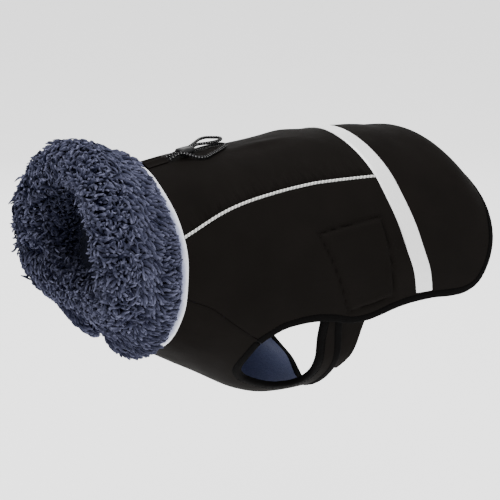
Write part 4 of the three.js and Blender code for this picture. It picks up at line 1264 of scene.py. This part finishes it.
class COAT_OT_drawcord(CoatStep):
    """Lays the two runs of drawcord through the lock and into their loops."""

    bl_idname = "coat.drawcord"
    bl_label = "Drawcord"

    def lay(self, name, knots, nodes):
        width = sizes()["cord_width"]
        path = smooth_line(knots, 150)
        piece = cord_piece(name, path, width, 12, "cord", nodes)
        length = run_lengths(path)[-1] * MM
        width * MM

    def make(self):
        run = sizes()["cord_width"] + 0.3
        end = LOCK["length"] / 2 + 0.3
        lower = [over_back(*TAIL_STARTS[1]), near_lock(-end, -2.6, -0.1)]
        lower += [over_back(*p) for p in LOWER_LOOP] + [near_lock(end, -run / 2 - 1, -0.6)]
        self.lay("drawcord_near_run", lower, ["drawcord_left_tail", "drawcord_lower_loop"])
        upper = [over_back(*TAIL_STARTS[0]), near_lock(-end, 2.6, -0.1), near_lock(0, 2.1, 0.2)]
        upper += [near_lock(end, run / 2, 0.3)]
        upper += [over_back(*p) for p in UPPER_LOOP] + [near_lock(end, 1.6 * run, 0.3)]
        self.lay("drawcord_far_run", upper, ["drawcord_right_tail", "drawcord_upper_loop"])


class COAT_OT_lock(CoatStep):
    """Makes the cord lock: a rounded barrel with a plunger's end."""

    bl_idname = "coat.lock"
    bl_label = "Cord lock"

    # How square the barrel is across: 1 is round, and less is squarer
    POWER = 0.62

    def make(self):
        turn = np.linspace(0, 2 * np.pi, 28, endpoint=False)
        half = LOCK["length"] / 2
        profile = [
            (-half, 0.66), (-half + 0.5, 0.84), (-half + 1.6, 0.97), (-half + 3.4, 1), (1.5, 1),
            (3.1, 0.985), (3.5, 0.9), (3.9, 0.9), (4.3, 0.985), (half - 1.6, 0.96), (half - 0.5, 0.82),
            (half, 0.64),
        ]
        aside = np.sign(np.cos(turn)) * np.abs(np.cos(turn)) ** self.POWER * LOCK["width"] / 2
        up = np.sign(np.sin(turn)) * np.abs(np.sin(turn)) ** self.POWER * LOCK["height"] / 2
        rings = []
        for ahead, share in profile:
            rings.append([near_lock(ahead, a * share, u * share) for a, u in zip(aside, up)])
        make_piece("lock_barrel", *bar(np.array(rings)), "plastic", ["cord_lock"], sharp=38)


class COAT_OT_casing(CoatStep):
    """Makes the short casing that the drawcord leaves."""

    bl_idname = "coat.casing"
    bl_label = "Drawcord casing"

    def make(self):
        u, v = grid(23, 21)
        x = lerp(CASING["front"], CASING["rear"] + 0.6 * np.sin(v * np.pi * 3), u)
        deg = (2 * v - 1) * CASING["width"] / 2 / np.linalg.norm(directions(x, 0 * x)[1], axis=-1)
        channels = bell((np.abs(deg) * MM_PER_DEGREE - 3.4) / 2.4)
        under = 0.3 + fold_rise(x, deg)
        rise = under + lerp(0.7, CASING["crown"], channels * smooth((1 - np.abs(2 * v - 1)) * 3))
        layer("casing_cloth", x, deg, rise + 0.14 * small(x, deg), under, "shell", ["drawcord_casing"])


class COAT_OT_bindings(CoatStep):
    """Folds a binding over every free edge, and stitches it down."""

    bl_idname = "coat.bindings"
    bl_label = "Edge bindings"

    # Across the binding: share of its width from the free edge, height above the shell
    SECTION = [
        (0.0, -2.0), (0.02, -0.9), (0.09, 0.05), (0.22, 0.5), (0.45, 0.62), (0.7, 0.5), (0.88, 0.22),
        (1.0, -0.35), (1.0, -3.7), (0.88, -4.25), (0.7, -4.5), (0.45, -4.6), (0.22, -4.5), (0.09, -4.05),
        (0.02, -3.1),
    ]

    def fold(self, name, line, hand, sink):
        """Makes one binding, and gives the line that its stitches follow."""
        width = sizes()["binding_width"] * hand
        pucker = 0.16 * binding_pucker(*(line * 2).T)
        rings = []
        for share, height in self.SECTION:
            x, deg = beside(line, width * share).T
            ripple = pucker if height > 0 or height < -3 else 0
            rings.append(lifted(x, deg, height + ripple + sink(x, deg)))
        make_piece(name + "_edging", *bar(np.stack(rings, 1)), "binding", [name + "_binding"])
        x, deg = beside(line, width * 0.86).T
        return lifted(x, deg, 0.34 + sink(x, deg))

    def make(self):
        arm = by_length(armhole_edge, 120)
        lines = [
            self.fold("hem", there_and_back(by_length(hem_half, 230)), 1, level),
            self.fold("left_armhole", arm, -1, belly_sink),
            self.fold("right_armhole", mirrored(arm) + [0, 360], 1, belly_sink),
            self.fold("belly", by_length(belly_line, 200), -1, belly_sink),
        ]
        sew("binding_stitches", lines, 3.4, 0.55, "binding")


# Along a stitch: place as a share of the spacing, share of the width, and height
STITCH = ((-0.42, 0.2, -0.3), (-0.25, 1, 0.02), (0.25, 1, 0.02), (0.42, 0.2, -0.3))


def sew(name, lines, pace, width, slot):
    """Rows of short raised stitches along lines of points."""
    stitches = []
    for line in lines:
        count = int(run_lengths(line)[-1] / pace)
        fine = evenly(line, count * 6)
        middle = fine[3::6][:count]
        ahead = unit(fine[4::6][:count] - fine[2::6][:count])
        x = middle[:, 0]
        out = unit(middle - np.stack([x, 0 * x, body_mid(x)], -1))
        across = np.cross(ahead, out)
        rings = []
        for t, share, sunk in STITCH:
            centre = middle + ahead * pace * t + out * sunk
            for turn in np.linspace(0, 2 * np.pi, 5, endpoint=False):
                rings.append(centre + (across * math.cos(turn) + out * math.sin(turn)) * width / 2 * share)
        stitches.append(np.stack(rings, 1).reshape(-1, 3))
    points = np.vstack(stitches)
    faces = [[4, 3, 2, 1], [4, 1, 0, 0], [15, 16, 17, 18], [15, 18, 19, 19]]
    for first in (0, 5, 10):
        for k in range(5):
            after = first + (k + 1) % 5
            faces.append([first + k, after, after + 5, first + k + 5])
    make_piece(name, points, repeated(faces, len(points) // 20, 20), slot)


class COAT_OT_band(CoatStep):
    """Lays the reflective band over the seam behind the side panels."""

    bl_idname = "coat.band"
    bl_label = "Reflective band"

    def make(self):
        u, v = grid(240, 14, (-1, -0.5), (1, 0.5))
        deg = u * BAND_END_DEG
        x = band_x(deg) + v * sizes()["band_width"]
        edge, fold = 0.5 - np.abs(v), fold_rise(x, deg)
        rise = 0.3 + fold + 0.3 * cloth_swell(x, deg) + 0.85 * smooth(edge / 0.05 + 0.25)
        rise += 0.12 * small(x, deg) - 0.22 * bell((edge - 0.09) / 0.02)
        layer("band_tape", x, deg, rise, fold - 0.3, "reflective", ["reflective_band"])


class COAT_OT_piping(CoatStep):
    """Sews the piping into the seams beside the back panel."""

    bl_idname = "coat.piping"
    bl_label = "Piping"

    def make(self):
        size = sizes()
        rear = band_x(41.3) - size["band_width"] / 2 - 0.3
        x = np.linspace(tape_x(57) + 0.6, rear, 240)
        for name, hand in HANDS:
            path = lifted(x, hand * piping_deg(x), -0.1 + 0.08 * small(x, 0 * x))
            cord_piece(name + "_piping_braid", path, size["piping_width"], 14, "piping", [name + "_piping"])


class COAT_OT_tabs(CoatStep):
    """Makes the two strap tabs inside the wings."""

    bl_idname = "coat.tabs"
    bl_label = "Strap tabs"

    def make(self):
        u, v = grid(39, 25)
        down = lerp(TAB["top"], TAB["bottom"], u)
        x = lerp(TAB["front"], lerp(TAB["rear"], TAB["rear_bottom"], u**2), v)
        deg = down + 5 * v * u
        sink = wing_sink(TAB["front"], down) - TAB["drop"]
        edge = np.minimum(np.minimum(v, 1 - v) * 30, (1 - u) * 70)
        height = sink - 0.45 * (1 - smooth(edge / 1.6)) - 0.3 * bell(edge - 4) + 0.12 * small(x, deg)
        for name, hand in HANDS:
            nodes = [name + "_strap_tab"]
            layer(name + "_tab", x, hand * deg, height, sink - TAB["thick"], "binding", nodes, "shell")


class COAT_OT_tape(CoatStep):
    """Binds the fur flap's free edge with pale woven tape."""

    bl_idname = "coat.tape"
    bl_label = "Collar tape"

    # Across the tape: share of its width from its rear edge, height above the backing
    SECTION = [
        (1, 0.1), (1, 1.5), (0.93, 2.1), (0.7, 2.4), (0.4, 2.4), (0.15, 2.1), (0.03, 1.5), (0, 0.9),
        (0.05, 0.3),
    ]

    def make(self):
        deg = np.linspace(-FLAP_END_DEG, FLAP_END_DEG, 260)
        rings = []
        for share, height in self.SECTION:
            x = tape_x(deg) - TAPE_WIDTH * share
            rings.append(lifted(x, deg, BACKING_GAP + height + 0.2 * small(x, deg)))
        # Share of the way towards the fur, which sets the tape's painted bluish shade
        inner = np.append(np.tile([share for share, _ in self.SECTION], len(deg)), [0, 0]) * 1.4
        make_piece("tape_edge", *bar(np.stack(rings, 1)), "tape", ["collar_tape"], {"inner": inner})


def swirls(place, size):
    """Slow uneven turns of the pile's lay, from -1 to 1."""
    x, y, z = (place / size).T
    return np.sin(x + 1.7 * np.sin(0.8 * z + 0.6 * y)) * np.cos(0.9 * z - 1.3 * np.sin(0.7 * x + y))


def fur_lay_flap(share, crest, along, around, rng):
    """Locks on the flap: loose at the rim, then back and down, and short beside the tape."""
    free = smooth((share - 0.05) / 0.25)
    wide = free[:, None]
    lean = along * (0.1 + 0.9 * wide) + wide * [0, 0, -0.45] + around * 0.5 * swirls(crest, 11)[:, None]
    lean = lean + rng.normal(size=crest.shape) * lerp(0.6, 0.1, wide)
    stand_up = rng.uniform(0, 0.8, len(share)) * lerp(1, 0.2, free)
    return lean, stand_up, 1 - 0.45 * smooth((share - 0.8) / 0.2), np.ones(len(share)), lerp(0.9, 0.22, free)


def fur_lay_tube(share, crest, along, around, rng):
    """Locks inside the neck and over the rim: short, loose and curled every way, with painted shade deeper
    in the neck.
    """
    lean = along * 0.35 + around * 0.8 * swirls(crest, 9)[:, None] + rng.normal(size=crest.shape) * 0.65
    stand_up = rng.uniform(0.2, 1, len(share))
    # The fourth value is painted shade: the locks' colour darkens deep inside the neck
    return lean, stand_up, 0 * share + 0.9, 0.3 + 0.7 * smooth((share - 0.2) / 0.35), 0.7


class COAT_OT_fur(CoatStep):
    """Grows the collar's fur: backing cloth and thousands of short curled locks."""

    bl_idname = "coat.fur"
    bl_label = "Fur collar"

    # What the backing cloth has where a lock has its own rise, tone and painted light; its low rise and
    # painted light paint shade on the cloth between the locks
    BACKING = {"rise": 0.12, "shade": 0.4, "open": 0.3}

    def make(self):
        deg = np.linspace(-FLAP_END_DEG, FLAP_END_DEG, 190)
        rear, gap = tape_x(deg) - TAPE_WIDTH - FUR_TO_TAPE, np.full(deg.shape, BACKING_GAP)
        under = [lifted(rear, deg, gap), lifted(lerp(NECK_X, rear, 0.5), deg, gap)]
        under += [collar_lifted(deg, 0.0, gap), collar_lifted(deg, 0.5, gap), rim_at(deg, 90, gap)]
        locks = {"gaps": (3.75, 1.65, 2.0), "lay": fur_lay_flap, "longest": 2.9}
        self.grow("flap_fur", "collar_fur_flap", 5, False, deg, flap_profile, 40, under, locks)
        deg = np.linspace(0, 360, 190, endpoint=False)
        under = [collar_lifted(deg, t, -share * gap) for t, share in ((1.0, 0), (0.5, 1), (0.0, 1))]
        locks = {"gaps": (3.45, 2.3, 0.7), "lay": fur_lay_tube, "longest": 2.2}
        self.grow("neck_fur", "collar_fur_inside", 6, True, deg, tube_profile, 46, under, locks)

    def grow(self, name, node, seed, closed, deg, profile, rows, under, locks):
        """Makes the backing between a profile and what lies under it, and the locks on it."""
        size = sizes()
        high, low = (rounded(profile(deg, depth), rows) for depth in (0.0, size["pile_depth"]))
        points, faces = bar(np.swapaxes(np.vstack([low, under]), 0, 1), closed)
        pile, pile_faces, fields = Locks(seed, low, high, closed).grow(width=size["lock_width"], **locks)
        count = len(points)
        for label, share in self.BACKING.items():
            fields[label] = np.append(np.full(count, share), fields[label])
        points, faces = np.vstack([points, pile]), np.vstack([faces, pile_faces + count])
        make_piece(name, points, faces, "fur", [node], fields)


class COAT_OT_stage(CoatStep):
    """Lays a pale floor and hangs soft studio light."""

    bl_idname = "coat.stage"
    bl_label = "Stage"

    FLOOR_REACH = 12.0
    FLOOR_DROP = 0.34
    # Name, place, size, power and colour of each soft light
    LIGHTS = [
        ("key", (-0.9, -1.5, 1.7), 1.4, 30, (1.0, 0.99, 0.97)),
        ("fill", (1.5, -1.6, 0.5), 1.8, 6, (0.98, 0.98, 1.0)),
        ("top", (0.0, 0.2, 1.9), 1.5, 48, (1.0, 1.0, 1.0)),
        ("rear", (0.9, 1.8, 0.6), 1.6, 10, (1.0, 1.0, 1.0)),
    ]
    AIM = (0.02, 0, -0.1)

    def make(self):
        mesh = bpy.data.meshes.new("floor")
        reach, low = self.FLOOR_REACH, -0.222 - self.FLOOR_DROP
        corners = [(-reach, -reach, low), (reach, -reach, low), (reach, reach, low), (-reach, reach, low)]
        mesh.from_pydata(corners, [], [(0, 1, 2, 3)])
        floor = bpy.data.objects.new("floor", mesh)
        bpy.context.scene.collection.objects.link(floor)
        paint = Finish("pale_floor", Roughness=0.9, Emission_Color=(1, 1, 1, 1), Emission_Strength=0.95)
        paint.mottle(paint.noise(400, 2), (1, 1, 1), 0.90, 0.93)
        mesh.materials.append(paint.material)
        for name, place, size, power, tint in self.LIGHTS:
            data = bpy.data.lights.new(name + "_light", "AREA")
            data.shape = "DISK"
            data.size = size
            data.energy = power
            data.color = tint
            stand(name + "_light", data, place, Vector(place) - Vector(self.AIM))
        world = bpy.data.worlds.new("studio")
        world.use_nodes = True
        sky = world.node_tree.nodes["Background"]
        sky.inputs["Color"].default_value = (1, 1, 1, 1)
        sky.inputs["Strength"].default_value = 1.0
        bpy.context.scene.world = world


STEPS = (
    COAT_OT_camera, COAT_OT_drawcord, COAT_OT_lock, COAT_OT_casing, COAT_OT_shell, COAT_OT_lining,
    COAT_OT_bindings, COAT_OT_band, COAT_OT_piping, COAT_OT_tabs, COAT_OT_tape, COAT_OT_fur, COAT_OT_stage,
)


class COAT_PT_panel(bpy.types.Panel):
    """Lists the steps that make the coat."""

    bl_idname = "COAT_PT_panel"
    bl_label = "Dog Coat"
    bl_space_type = "VIEW_3D"
    bl_region_type = "UI"
    bl_category = "Dog Coat"

    def draw(self, context):
        for group in (context.scene.coat_sizes, context.scene.coat_colours):
            for name in group.bl_rna.properties.keys():
                if name not in ("rna_type", "name"):
                    self.layout.prop(group, name)
        for step in STEPS:
            self.layout.operator(step.bl_idname)


CLASSES = (CoatColours, CoatSizes, *STEPS, COAT_PT_panel)


def register():
    for item in CLASSES:
        bpy.utils.register_class(item)
    bpy.types.Scene.coat_colours = bpy.props.PointerProperty(type=CoatColours)
    bpy.types.Scene.coat_sizes = bpy.props.PointerProperty(type=CoatSizes)


def unregister():
    del bpy.types.Scene.coat_sizes
    del bpy.types.Scene.coat_colours
    for item in reversed(CLASSES):
        bpy.utils.unregister_class(item)


def main():
    """Registers the steps and runs them in order."""
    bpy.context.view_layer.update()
    register()
    for step in STEPS:
        group, name = step.bl_idname.split(".")
        getattr(getattr(bpy.ops, group), name)()


if __name__ == "__main__":
    main()
